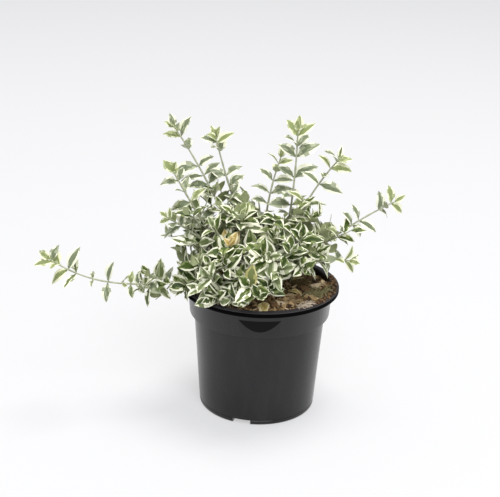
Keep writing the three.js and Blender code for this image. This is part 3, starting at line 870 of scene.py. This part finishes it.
def newTree(name, sockets):
    # a tree of nodes with a geometry output, its named inputs given by kind of socket
    tree = bpy.data.node_groups.new(name, "GeometryNodeTree")
    for socket, kind in sockets.items():
        tree.interface.new_socket(socket, in_out="INPUT", socket_type=f"NodeSocket{kind}")
    tree.interface.new_socket("Pieces", in_out="OUTPUT", socket_type="NodeSocketGeometry")
    return tree


def readAttribute(tree, name, kind):
    settings = {"data_type": kind}
    return addNode(tree, "GeometryNodeInputNamedAttribute", settings, {"Name": name}).outputs[0]


def placeTree(name, materials, zones):
    # sets shapes from a collection on points: "shape", "turn", "size" and "tint" are read from
    # the points and "zone" from the shapes' own faces; each tint has a material for every zone
    tree = newTree(name, {"Points": "Geometry", "Shapes": "Collection", "Grow": "Float"})
    start = addNode(tree, "NodeGroupInput").outputs
    shelf = {"Collection": start["Shapes"], "Separate Children": True, "Reset Children": True}
    turn = {0: readAttribute(tree, "turn", "FLOAT_VECTOR")}
    size = {0: readAttribute(tree, "size", "FLOAT_VECTOR"), "Scale": start["Grow"]}
    spots = {
        "Points": start["Points"],
        "Instance": addNode(tree, "GeometryNodeCollectionInfo", inputs=shelf).outputs[0],
        "Pick Instance": True,
        "Instance Index": readAttribute(tree, "shape", "INT"),
        "Rotation": addNode(tree, "FunctionNodeEulerToRotation", inputs=turn).outputs[0],
        "Scale": addNode(tree, "ShaderNodeVectorMath", {"operation": "SCALE"}, size).outputs[0],
    }
    placed = addNode(tree, "GeometryNodeInstanceOnPoints", inputs=spots).outputs[0]
    solid = addNode(tree, "GeometryNodeRealizeInstances", inputs={0: placed}).outputs[0]
    rows = {0: readAttribute(tree, "tint", "INT"), 1: float(zones), 2: readAttribute(tree, "zone", "INT")}
    code = addNode(tree, "ShaderNodeMath", {"operation": "MULTIPLY_ADD"}, rows).outputs[0]
    equal = {"data_type": "FLOAT", "operation": "EQUAL"}
    for i, material in enumerate(materials):
        same = addNode(tree, "FunctionNodeCompare", equal, {0: code, 1: float(i), "Epsilon": 0.25})
        dress = {"Geometry": solid, "Selection": same.outputs[0], "Material": material}
        solid = addNode(tree, "GeometryNodeSetMaterial", inputs=dress).outputs[0]
    finish = addNode(tree, "NodeGroupOutput")
    tree.links.new(solid, finish.inputs[0])
    return tree


def placeShapes(name, tree, shapes, spots, sharpDeg=60):
    # spots: (place in mm, rotation matrix, size, shape, tint)
    host = newObject(name, [spot[0] * mm for spot in spots], [])
    setAttribute(host, "turn", "FLOAT_VECTOR", [tuple(spot[1].to_euler("XYZ")) for spot in spots])
    setAttribute(host, "size", "FLOAT_VECTOR", [tuple(spot[2]) for spot in spots])
    setAttribute(host, "shape", "INT", [spot[3] for spot in spots])
    setAttribute(host, "tint", "INT", [spot[4] for spot in spots])
    addModifierTree(host, tree, {"Shapes": shapes, "Grow": 1.0})
    return finished(host, name, sharpDeg)


def shapeCollection(name, make, count):
    shelf = bpy.data.collections.new(name)
    bpy.context.scene.collection.children.link(shelf)
    for number in range(count):
        shape = make(number)
        bpy.context.scene.collection.objects.unlink(shape)
        shelf.objects.link(shape)
    return shelf


def clearCollection(shelf):
    for shape in list(shelf.objects):
        removeObject(shape)
    bpy.data.collections.remove(shelf)


def leafSpot(one, pick):
    along, face = one["along"], one["face"]
    turn = Matrix((along.cross(face), along, face)).transposed()
    broad = one["tint"] < 3
    number = pick.randrange(leaf["broad"]) if broad else leaf["broad"] + pick.randrange(leaf["slender"])
    wide = one["size"] * pick.uniform(0.88, 1.1)
    return (one["root"], turn, (wide, one["size"], one["size"]), number, one["tint"])


leafMaterials = [
    plainFinish(f"waxy_leaf_{tint}_{zone}", colour, 0.6 if zone == "under" else 0.46, 1.6, 0.12, 0.28)
    for tint, row in enumerate(leafTints)
    for zone, colour in zip(leafZones, row)
]
leafShelf = shapeCollection("leaf_shapes", leafShape, leaf["broad"] + leaf["slender"])
leafTree = placeTree("leaves", leafMaterials, len(leafZones))
pick = random.Random(77)
for name, stemName, kind in [
    ("leaves_left_mound", "left", "foliage"),
    ("leaves_back_mound", "back", "foliage"),
    ("leaves_right_mound", "right", "foliage"),
    ("leaves_left_shoots", "left", "shoot"),
    ("leaves_back_shoots", "back", "shoot"),
    ("leaves_right_shoots", "right", "shoot"),
]:
    mine = [one for one in grownLeaves if plan[one["mass"]]["stem"] == stemName and one["kind"] == kind]
    piece = placeShapes(name, leafTree, leafShelf, [leafSpot(one, pick) for one in mine])
    nodes = [f"foliage_{m['name']}" for m in plan if m["stem"] == stemName and m["kind"] == kind]
    keepPiece(piece, nodes)
print("leaves set")


def limbTree(name, material, grain):
    # round limbs along lines, as thick as their points say, with a relief of the given grain
    tree = newTree(name, {"Lines": "Geometry", "Sides": "Int", "Relief": "Float"})
    start = addNode(tree, "NodeGroupInput").outputs
    thick = readAttribute(tree, "thick", "FLOAT")
    paths = addNode(tree, "GeometryNodeMeshToCurve", inputs={0: start["Lines"]})
    sized = addNode(tree, "GeometryNodeSetCurveRadius", inputs={"Curve": paths.outputs[0], "Radius": thick})
    section = {"Resolution": start["Sides"], "Radius": 1.0}
    ring = addNode(tree, "GeometryNodeCurvePrimitiveCircle", inputs=section)
    swept = {"Curve": sized.outputs[0], "Profile Curve": ring.outputs[0], "Fill Caps": True}
    tubes = addNode(tree, "GeometryNodeCurveToMesh", inputs=swept)
    if "Scale" in tubes.inputs:
        tree.links.new(addNode(tree, "GeometryNodeInputRadius").outputs[0], tubes.inputs["Scale"])
    bark = addNode(tree, "ShaderNodeTexNoise", inputs={"Scale": 1000 / grain, "Detail": 3.0})
    centred = addNode(tree, "ShaderNodeMath", {"operation": "SUBTRACT"}, {0: bark.outputs[0], 1: 0.5})
    amount = {0: centred.outputs[0], 1: start["Relief"]}
    high = addNode(tree, "ShaderNodeMath", {"operation": "MULTIPLY"}, amount)
    normal = addNode(tree, "GeometryNodeInputNormal").outputs[0]
    push = addNode(tree, "ShaderNodeVectorMath", {"operation": "SCALE"}, {0: normal, "Scale": high.outputs[0]})
    moved = {"Geometry": tubes.outputs[0], "Offset": push.outputs[0]}
    rough = addNode(tree, "GeometryNodeSetPosition", inputs=moved)
    solid = addNode(tree, "GeometryNodeRealizeInstances", inputs={0: rough.outputs[0]})
    finish = addNode(tree, "NodeGroupOutput")
    dress = {"Geometry": solid.outputs[0], "Material": material}
    addNode(tree, "GeometryNodeSetMaterial", inputs=dress, to=finish.inputs[0])
    return tree


def makeLimbs(name, tree, lines, sides, relief):
    # lines: lists of (point in mm, radius in mm)
    points, edges, thick = [], [], []
    for line in lines:
        first = len(points)
        points += [Vector(p) * mm for p, _ in line]
        thick += [r * mm for _, r in line]
        edges += [(first + i, first + i + 1) for i in range(len(line) - 1)]
    host = newObject(name, points, [], edges)
    setAttribute(host, "thick", "FLOAT", thick)
    addModifierTree(host, tree, {"Sides": sides, "Relief": relief * mm})
    return finished(host, name, 60)


def taper(twig, count, knots):
    # evenly spaced points with a tapering radius, swollen at the leaf nodes
    low, high = twig["thick"]
    line = twig["line"]
    out = []
    for i in range(count + 1):
        t = i / count
        radius = low + (high - low) * t
        if i % knots == knots // 2:
            radius *= limbLook["swell"]
        out.append((line.point(t), radius))
    return out


# the relief's grain and depth, the sides and lengths of a limb, after how many lengths a leaf
# node comes, and how much thicker the limb is there
limbLook = {
    "woody": {"grain": 2.2, "relief": 0.55, "sides": 14, "steps": 26, "every": 9},
    "green": {"grain": 1.5, "relief": 0.14, "sides": 8, "steps": 16, "twigSteps": 8, "every": 4},
    "swell": 1.22,
}
woody, green = limbLook["woody"], limbLook["green"]
limbs = limbTree("woody_limbs", twigBark("young_bark", finishes["bark"], 0.85), woody["grain"])
slips = limbTree("green_limbs", twigBark("green_shoot_skin", finishes["greenBark"], 0.6), green["grain"])
for stemName, (azimuth, reach) in stems.items():
    foot = polar(azimuth, reach, mix["calmZ"] - 1.5)
    head = stemTop(stemName) + Vector((0, 0, 0.4))
    bend = polar(azimuth, reach, mix["calmZ"] + stemShape["height"] / 2)
    trunk = []
    for i in range(stemShape["steps"] + 1):
        t = i / stemShape["steps"]
        place = foot * (1 - t) ** 2 + bend * (2 * t * (1 - t)) + head * t * t
        flare = (stemShape["footRadius"] - stemShape["radius"]) * max(0, 1 - t / 0.25) ** 2
        radius = stemShape["radius"] + (stemShape["topRadius"] - stemShape["radius"]) * t + flare
        trunk.append((place, radius * (1 if t < 0.94 else 0.8)))
    mine = [twig for twig in grownTwigs if twig["kind"] == "woody" and twig["stem"] == stemName]
    boughs = [taper(twig, woody["steps"], woody["every"]) for twig in mine]
    piece = makeLimbs(f"wood_{stemName}", limbs, [trunk] + boughs, woody["sides"], woody["relief"])
    nodes = [f"stem_{stemName}"] + [f"bough_{m['name']}" for m in plan if m["stem"] == stemName]
    keepPiece(piece, nodes)
greens = [
    taper(twig, green["steps" if twig["line"].steps > 4 else "twigSteps"], green["every"])
    for twig in grownTwigs
    if twig["kind"] == "green"
]
keepPiece(makeLimbs("green_twigs", slips, greens, green["sides"], green["relief"]))
print("stems, boughs and twigs made")


potShape = {
    "segments": 192,
    "baseRadius": 63.5,
    "outside": [
        (0, 0), (60.7, 0), (61.7, 0.2), (62.7, 0.8), (63.3, 1.7), (63.5, 2.8), (63.62, 5.0), (63.4, 5.3),
        (63.42, 5.8), (63.75, 6.2), (70.75, 106), (74.9, 107.6), (75.5, 108.1), (75.8, 108.9),
        (77.9, 134.3), (78.1, 134.8), (84.4, 135), (84.9, 135.4), (85, 136), (85, 138.8),
        (84.8, 139.5), (84.3, 139.9), (83.5, 140), (82.2, 140),
    ],
    # the inside goes on above the lip, so that it cuts the pot open
    "inside": [
        (0, 1.5), (58.9, 1.5), (61.1, 2.2), (62, 4.2), (69.2, 107), (73.4, 109.2),
        (74.3, 110.4), (76.3, 134), (76.5, 138.3), (76.9, 139.2), (77.7, 139.9), (78.1, 145),
    ],
    "collar": ((75.8, 108.9), (77.9, 134.3)),
    # where the finishes with painted shade and painted light begin: beyond a radius, below or above a height
    "lipSide": 84,
    "lipTop": 77,
    "lipEdgeZ": 139.4,
    "recessFace": 73.5,
}  # fmt: skip
bay = {"count": 3, "firstDeg": -104.5, "width": 19.5, "depth": 13, "height": 5.5, "cutTo": 90}
labelFace = {"lowZ": 115.4, "highZ": 128, "depth": 2.1, "turnDeg": 0, "width": 70, "cutTo": 95}
labelFront = Matrix.Rotation(math.radians(labelFace["turnDeg"]), 3, "Z") @ Vector((0, -1, 0))
# finishes of the recess, the lip's side and the lip's top, copies of the same black plastic with painted shade
# in the recess and on the lip's side and painted light on the lip's top: name, colour, roughness, grain, depth
# and specular
potFinishes = [
    # the recess painted darker than the wall, as painted shade under the lip
    ("recess_painted_shade", "paintedShadeBlack", 0.3, 1.2, 0.05, 0.12),
    # the lip's side painted darker than the wall and dull, as painted shade
    ("lip_band_painted_shade", "paintedShadeBlack", 0.6, 1.2, 0.03, 0.02),
    # the lip's top painted lighter than the wall, as painted light from above
    ("lip_top_painted_light", "lipTopPaintedLight", 0.6, 1.2, 0.05, 0.25),
]


def collarAt(z):
    # the collar's outer radius at a height
    (lowRadius, lowZ), (topRadius, topZ) = potShape["collar"]
    return lowRadius + (topRadius - lowRadius) * (z - lowZ) / (topZ - lowZ)


def ringPoint(r, j, segments, z=0):
    # the point at step j of a ring
    angle = 2 * math.pi * j / segments
    return Vector((r * math.cos(angle), r * math.sin(angle), z))


def ringFaces(segments, rings, fromBelow=True):
    # faces over rings of points, with a point before the first ring and one after the last
    faces, end = [], 1 + rings * segments
    for j in range(segments):
        k = (j + 1) % segments
        faces.append((0, 1 + k, 1 + j))
        for a in range(1, end - segments, segments):
            b = a + segments
            faces.append((a + j, a + k, b + k, b + j))
        faces.append((end - segments + j, end - segments + k, end))
    return faces if fromBelow else [face[:1] + face[:0:-1] for face in faces]


def turned(name, profile):
    # a closed solid of revolution, from the axis below to the axis above
    segments, rings = potShape["segments"], profile[1:]
    points = [Vector((0, 0, profile[0][1])) * mm]
    points += [ringPoint(r, j, segments, z) * mm for r, z in rings for j in range(segments)]
    points.append(Vector((0, 0, profile[-1][1])) * mm)
    return newObject(name, points, ringFaces(segments, len(rings)))


def block(name, corners, turn):
    # a closed box or prism from two matching outlines
    count = len(corners) // 2
    spin = Matrix.Rotation(turn, 3, "Z")
    points = [spin @ Vector(c) * mm for c in corners]
    faces = [tuple(range(count)), tuple(range(2 * count - 1, count - 1, -1))]
    faces += [(j, j + count, (j + 1) % count + count, (j + 1) % count) for j in range(count)]
    thing = newObject(name, points, faces)
    work = bmesh.new()
    work.from_mesh(thing.data)
    bmesh.ops.recalc_face_normals(work, faces=work.faces)
    work.to_mesh(thing.data)
    work.free()
    return thing


def bayBlock(number, grow):
    inner = potShape["baseRadius"] - bay["depth"] - grow
    half = bay["width"] / 2 + grow
    high = bay["height"] + grow
    flat = [(inner, -half, -high), (inner, half, -high), (inner, half, high), (inner, -half, high)]
    far = [(bay["cutTo"], y, z) for _, y, z in flat]
    return block(f"bay_{number}", flat + far, math.radians(bay["firstDeg"] + 360 / bay["count"] * number))


def labelBlock(inset):
    low = collarAt(labelFace["lowZ"]) - inset
    section = [
        (-low, labelFace["lowZ"] - inset),
        (-(low - labelFace["depth"]), labelFace["highZ"] + inset),
        (-labelFace["cutTo"], labelFace["highZ"] + inset),
        (-labelFace["cutTo"], labelFace["lowZ"] - inset),
    ]
    half = labelFace["width"] / 2 + inset
    ends = [[(x, y, z) for y, z in section] for x in (-half, half)]
    return block("label_recess", ends[0] + ends[1], math.radians(labelFace["turnDeg"]))


def carve(thing, cutters, name):
    for cutter in cutters:
        cut = thing.modifiers.new("cut", "BOOLEAN")
        cut.operation = "DIFFERENCE"
        cut.solver = "EXACT"
        cut.object = cutter
    result = finished(thing, name, 28)
    for cutter in cutters:
        removeObject(cutter)
    return result


def dressPot(piece):
    # the wall's finish, then painted shade as a smoother, darker black in the recess and a dull, darker black
    # on the lip's side, and painted light as a lighter grey on the lip's top
    data = piece.data
    data.materials.clear()
    data.materials.append(mouldedPlastic())
    for name, colour, *surface in potFinishes:
        data.materials.append(plainFinish(name, finishes[colour], *surface))
    for face in data.polygons:
        place = face.center / mm
        reach = math.hypot(place.x, place.y)
        # the lip's side gets the painted shade
        if reach > potShape["lipSide"] and place.z < potShape["lipEdgeZ"]:
            face.material_index = 2
        # the lip's top gets the painted light
        if reach > potShape["lipTop"] and place.z > potShape["lipEdgeZ"]:
            face.material_index = 3
        cut = labelFace["lowZ"] < place.z < labelFace["highZ"] + 0.1
        recess = cut and place.dot(labelFront) > potShape["recessFace"] and reach < collarAt(place.z) - 0.1
        # the recess's front and downward faces get the painted shade
        if recess and (face.normal.dot(labelFront) > 0.9 or face.normal.z < -0.9):
            face.material_index = 1


outer = turned("pot_outer", potShape["outside"])
outer = carve(outer, [bayBlock(i, 0) for i in range(bay["count"])] + [labelBlock(0)], "pot_outer_cut")
inner = turned("pot_inner", potShape["inside"])
wall = potSize["wall"]
inner = carve(inner, [bayBlock(i, wall) for i in range(bay["count"])] + [labelBlock(wall)], "pot_inner_cut")
potPiece = carve(outer, [inner], "nursery_pot")
dressPot(potPiece)
keepPiece(potPiece, ["pot"])
print("pot made")


litter = {
    "rings": 72,
    "segments": 220,
    "bottomZ": 119,
    "recessReach": 71.9,  # how far the mix reaches behind the label recess
    # roughness of three sizes: height, and how fine it is
    "lumps": [(1.6, 0.075), (1.4, 0.19), (1, 0.42)],
    "chips": {
        "count": 480,
        "sizes": (0.3, 1.1),
        "shapes": 8,
        "tints": [0, 0, 0, 1, 1, 2, 2, 3],
        "sink": 0.35,
        "tilt": 0.6,
    },
    "crumbs": {
        "count": 2200,
        "sizes": (0.45, 1.4),
        "shapes": 6,
        "tints": [0, 0, 0, 1, 1, 2],
        "sink": 0.2,
        "tilt": 1.5,
    },
    "moss": {"count": 60, "sizes": (0.8, 1.8), "shapes": 6, "tints": [4], "sink": 0.1, "tilt": 1.5},
    # half the length of a chip of size 1, and the room that it takes up
    "chipHalf": 5,
    "chipRoom": 4.5,
    "fallenTint": 5,
    "fibres": 320,
    # how far from the middle things are strewn, and how far a fibre reaches
    "spread": 74.6,
    "fibreSpread": 70.6,
    "fibreReach": 74.4,
    "tuftReach": 83.6,
    "sideTopZ": 133.2,
    # the bank of mix at the right, and the crumbs spilled from it on the lip
    "bank": {"middleDeg": -17, "halfDeg": 32, "rise": 5, "from": 0.8},
    "spill": {"count": 170, "inner": 76.6, "outer": 82.8, "sizes": (0.8, 1.7), "tints": [0, 0, 0, 1, 1]},
    "seed": 31,
    # place, size, heading and tint of the larger chips in view
    "largeChips": [
        (63, 2, 1.9, -66, 3), (36, -22, 1.7, -74, 3), (56, -40, 1.2, 40, 2), (22, -48, 1.4, 75, 3),
        (48, -10, 1.5, 20, 1), (14, -58, 1.4, 10, 1), (52, -30, 1.2, 100, 2),
    ],  # fmt: skip
    # tufts of loose fibre: place, radius, count and colour
    "tufts": [
        (46, -63, 6, 60, "#c4b6a2"), (60, -22, 13, 90, "#8b8760"), (44, 14, 11, 40, "#857650"),
        (30, -40, 12, 50, "#b39b74"),
    ],  # fmt: skip
}


def bankRise(x, y):
    # the mix lies higher against the wall at the right
    bank, wall = litter["bank"], mix["wallRadius"]
    away = math.degrees(math.atan2(y, x)) - bank["middleDeg"]
    side = 1 - smooth(abs(away), bank["halfDeg"] - 12, bank["halfDeg"] + 8)
    return bank["rise"] * side * smooth(math.hypot(x, y), bank["from"] * wall, wall)


def litterHeight(x, y):
    # the lumpy level with its roughness and its bank
    r = math.hypot(x, y) / mix["wallRadius"]
    rough = sum(high * noise.noise(Vector((x, y, 0)) * fine) for high, fine in litter["lumps"])
    return mixHeight(x, y) + rough * (1 - 0.5 * r**6) + bankRise(x, y) + 0.3


def makeCompost():
    rings, segments, wall = litter["rings"], litter["segments"], mix["wallRadius"]
    points = [Vector((0, 0, litterHeight(0, 0))) * mm]
    for i in range(1, rings + 1):
        for j in range(segments):
            spot = ringPoint(wall * i / rings, j, segments)
            spot.z = litterHeight(spot.x, spot.y)
            points.append(spot * mm)
    # the side steps back behind the label recess, under its ledge
    edge = [point / mm for point in points[-segments:]]
    for low, share, held in ((0.5, 1, False), (0.9, 1, True), (None, 0.987, True)):
        for point in edge:
            high = min(point.z - low, litter["sideTopZ"] - low) if low else litter["bottomZ"]
            side = Vector((point.x * share, point.y * share, high))
            reach = side.dot(labelFront) - litter["recessReach"]
            points.append((side - labelFront * reach if held and reach > 0 else side) * mm)
    points.append(Vector((0, 0, litter["bottomZ"])) * mm)
    thing = newObject("compost", points, ringFaces(segments, rings + 3, fromBelow=False))
    thing.data.materials.append(compostCrumb())
    return finished(thing, "compost", 60)


def chipShape(number):
    # a split flake of bark: a rough slab with torn ends
    pick = random.Random(900 + number)
    work = bmesh.new()
    bmesh.ops.create_icosphere(work, subdivisions=2, radius=1)
    long, wide, thick = litter["chipHalf"], pick.uniform(1.6, 2.8), pick.uniform(0.5, 1.1)
    for v in work.verts:
        away = v.co.normalized()
        boxy = max(abs(away.x), abs(away.y), abs(away.z))
        co = away / boxy**0.7
        tear = 1 + 0.3 * noise.noise(co * 2.1 + Vector((number * 7.3, 0, 0)))
        v.co = Vector((co.x * wide * tear, co.y * long * tear, co.z * thick * tear)) * mm
    return shapeFrom(work, f"chip_{number:02d}")


def crumbShape(number):
    work = bmesh.new()
    bmesh.ops.create_icosphere(work, subdivisions=1, radius=1)
    for v in work.verts:
        v.co *= 1 + 0.4 * noise.noise(v.co * 1.7 + Vector((number * 3.1, 2, 0)))
        v.co *= mm
    return shapeFrom(work, f"crumb_{number:02d}")


def shapeFrom(work, name):
    shape = newObject(name, [], [])
    work.to_mesh(shape.data)
    work.free()
    setAttribute(shape, "zone", "INT", [0] * len(shape.data.polygons), "FACE")
    return shape


litterMaterials = [
    plainFinish("damp_bark_chip", "#453220", 0.85, 1.5, 0.5),
    plainFinish("brown_bark_chip", "#7c5f3f", 0.85, 1.5, 0.5),
    plainFinish("dry_bark_chip", "#b99d72", 0.9, 1.5, 0.5),
    plainFinish("pale_wood_chip", "#e6cfad", 0.85, 1.2, 0.4),
    plainFinish("moss", "#8f8b58", 0.95, 1.0, 0.5),
]


def litterSpots(pick, count, sizes, shapes, tints, sink, tilt):
    spots = []
    while len(spots) < count:
        r = litter["spread"] * math.sqrt(pick.random())
        angle = pick.uniform(0, 2 * math.pi)
        size = pick.uniform(*sizes)
        x, y = r * math.cos(angle), r * math.sin(angle)
        # chips lie flat, so they keep clear of the wall
        if r + size * litter["chipRoom"] > mix["wallRadius"] and tilt < 1:
            continue
        turn = turning(pick.uniform(0, 6.28), pick.gauss(0, tilt), pick.gauss(0, tilt))
        place = Vector((x, y, litterHeight(x, y) + sink * size))
        sizes3 = (size, size * pick.uniform(0.8, 1.2), size)
        spots.append((place, turn, sizes3, pick.randrange(shapes), pick.choice(tints)))
    return spots


def spilledCrumbs():
    # crumbs that lie on the lip's top beside the bank
    bank, spill, pick, spots = litter["bank"], litter["spill"], random.Random(litter["seed"] + 1), []
    shapes = litter["crumbs"]["shapes"]
    for _ in range(spill["count"]):
        azimuth = bank["middleDeg"] + bank["halfDeg"] * pick.uniform(-1.05, 1.05)
        r = spill["inner"] + (spill["outer"] - spill["inner"]) * pick.random() ** 1.3
        size = pick.uniform(*spill["sizes"])
        place = polar(azimuth, r, potSize["height"] + 0.35 * size)
        turn = turning(pick.uniform(0, 6.28))
        spots.append((place, turn, (size,) * 3, pick.randrange(shapes), pick.choice(spill["tints"])))
    return spots


pick = random.Random(litter["seed"])
keepPiece(makeCompost(), ["potting_mix"])
litterTree = placeTree("litter", litterMaterials, 1)
chipShelf = shapeCollection("chip_shapes", chipShape, litter["chips"]["shapes"])
chips = litterSpots(pick, **litter["chips"])
for x, y, size, headingDeg, tint in litter["largeChips"]:
    place = Vector((x, y, litterHeight(x, y) + 1.5))
    chips.append((place, turning(math.radians(headingDeg)), (size,) * 3, 2, tint))
keepPiece(placeShapes("bark_chips", litterTree, chipShelf, chips, 40))
crumbShelf = shapeCollection("crumb_shapes", crumbShape, litter["crumbs"]["shapes"])
crumbs = litterSpots(pick, **litter["crumbs"]) + litterSpots(pick, **litter["moss"]) + spilledCrumbs()
keepPiece(placeShapes("crumbs_and_moss", litterTree, crumbShelf, crumbs))
clearCollection(chipShelf)
clearCollection(crumbShelf)


fibre = {"steps": 8, "step": 1.9, "wander": 0.5, "above": 0.4, "radius": 0.3, "endRadius": 0.14}
fibreLook = {"sides": 5, "grain": 0.8, "relief": 0.05}


def looseFibre(x, y, heading, lift, reach):
    # one fibre that lies over the crumbs and, past the wall, on the lip
    line, steps = [], fibre["steps"]
    for i in range(steps + 1):
        r = math.hypot(x, y)
        if r > reach:
            break
        high = fibre["above"] + lift * math.sin(math.pi * i / steps)
        under = litterHeight(x, y) if r < mix["wallRadius"] else potSize["height"]
        line.append((Vector((x, y, under + high)), fibre["radius"] if i % steps else fibre["endRadius"]))
        heading += pick.uniform(-fibre["wander"], fibre["wander"])
        x, y = x + fibre["step"] * math.cos(heading), y + fibre["step"] * math.sin(heading)
    return line


def keepFibres(name, colour, lines):
    tree = limbTree(name, plainFinish(name, colour, 0.85, 0.8, 0.1), fibreLook["grain"])
    lines = [line for line in lines if len(line) > 3]
    keepPiece(makeLimbs(name, tree, lines, fibreLook["sides"], fibreLook["relief"]))


strewn = []
for _ in range(litter["fibres"]):
    r, angle = litter["fibreSpread"] * math.sqrt(pick.random()), pick.uniform(0, 6.28)
    start = r * math.cos(angle), r * math.sin(angle)
    strewn.append(looseFibre(*start, pick.uniform(0, 6.28), 1.6 * pick.random(), litter["fibreReach"]))
keepFibres("coir_fibres", "#ae9468", strewn)
for number, (x, y, radius, count, colour) in enumerate(litter["tufts"], 1):
    matted = []
    for _ in range(count):
        r, angle = radius * math.sqrt(pick.random()), pick.uniform(0, 6.28)
        start = x + r * math.cos(angle) - 5, y + r * math.sin(angle)
        heading, lift = pick.uniform(-1.2, 1.2), 4.5 * pick.random()
        matted.append(looseFibre(*start, heading, lift, litter["tuftReach"]))
    keepFibres(f"matted_fibre_{number}", colour, matted)

# yellowed leaves lie on the mix: place, height over it, size, and heading, pitch and roll
fallen = []
for x, y, z, size, *degrees in [
    (2, -55, 6.5, 0.9, 190, -16, 12),
    (30, -18, 3, 0.6, -100, 5, 0),
    (48, 26, 2.5, 0.8, 140, 10, 0),
]:
    place = Vector((x, y, litterHeight(x, y) + z))
    turn = turning(*map(math.radians, degrees))
    fallen.append((place, turn, (size,) * 3, leaf["broad"] + len(fallen), litter["fallenTint"]))
keepPiece(placeShapes("fallen_leaves", leafTree, leafShelf, fallen))
clearCollection(leafShelf)
print("potting mix made")


view = {
    "place": (-12.38, -1100.43, 589.52),
    "target": (-12.38, 0, 178.31),
    "rollDeg": 1.84,
    "lens": 79.16,
    "sensor": 36,
    "clip": (0.05, 60),  # metres
}
light = {
    "sky": 0.56,
    "skyColour": "#fbfaff",
    "paper": "#9c9d9f",
    "floorGlow": 0.51,
    "floorHalf": 20,  # metres, as the places below
    "floorZ": -0.0002,
    "aim": (0, 0, 0.15),
    "key": (88, (0.38, 0.3, 3.75), 1.4, "#fffdf8"),  # watts, place, size, colour
    "fill": (94, (0.6, -3.0, 3.2), 2.4, "#fdfdff"),
}


def makeCamera():
    data = bpy.data.cameras.new("camera")
    data.lens = view["lens"]
    data.sensor_width = view["sensor"]
    data.clip_start, data.clip_end = view["clip"]
    camera = addObject("camera", data)
    place, target = Vector(view["place"]) * mm, Vector(view["target"]) * mm
    back = (place - target).normalized()
    right = up.cross(back).normalized()
    above = back.cross(right)
    roll = math.radians(view["rollDeg"])
    facing = Matrix((right, above, back)).transposed() @ Matrix.Rotation(roll, 3, "Z")
    camera.matrix_world = Matrix.Translation(place) @ facing.to_4x4()
    bpy.context.scene.camera = camera


def makeFloor():
    h = light["floorHalf"]
    floor = newObject("studio_floor", [(-h, -h, 0), (h, -h, 0), (h, h, 0), (-h, h, 0)], [(0, 1, 2, 3)])
    # a lit table: the pale top glows a little, so that shadows on it stay faint
    material, _, shader = newMaterial("studio_paper", light["paper"], 0.9, 0.1)
    shader.inputs["Emission Color"].default_value = linear("#ffffff")
    shader.inputs["Emission Strength"].default_value = light["floorGlow"]
    floor.data.materials.append(material)
    floor.location.z = light["floorZ"]


def addArea(name, power, place, size, colour):
    data = bpy.data.lights.new(name, "AREA")
    data.size = size
    data.energy = power
    data.color = linear(colour)[:3]
    lamp = addObject(name, data)
    lamp.location = place
    lamp.rotation_euler = (Vector(light["aim"]) - Vector(place)).to_track_quat("-Z", "Y").to_euler()


makeCamera()
makeFloor()
world = bpy.data.worlds.new("studio")
world.use_nodes = True
sky = world.node_tree.nodes["Background"]
sky.inputs["Color"].default_value = linear(light["skyColour"])
sky.inputs["Strength"].default_value = light["sky"]
bpy.context.scene.world = world
bpy.context.scene.view_settings.view_transform = "Standard"
addArea("key", *light["key"])
addArea("fill", *light["fill"])
print("camera, floor and light set")
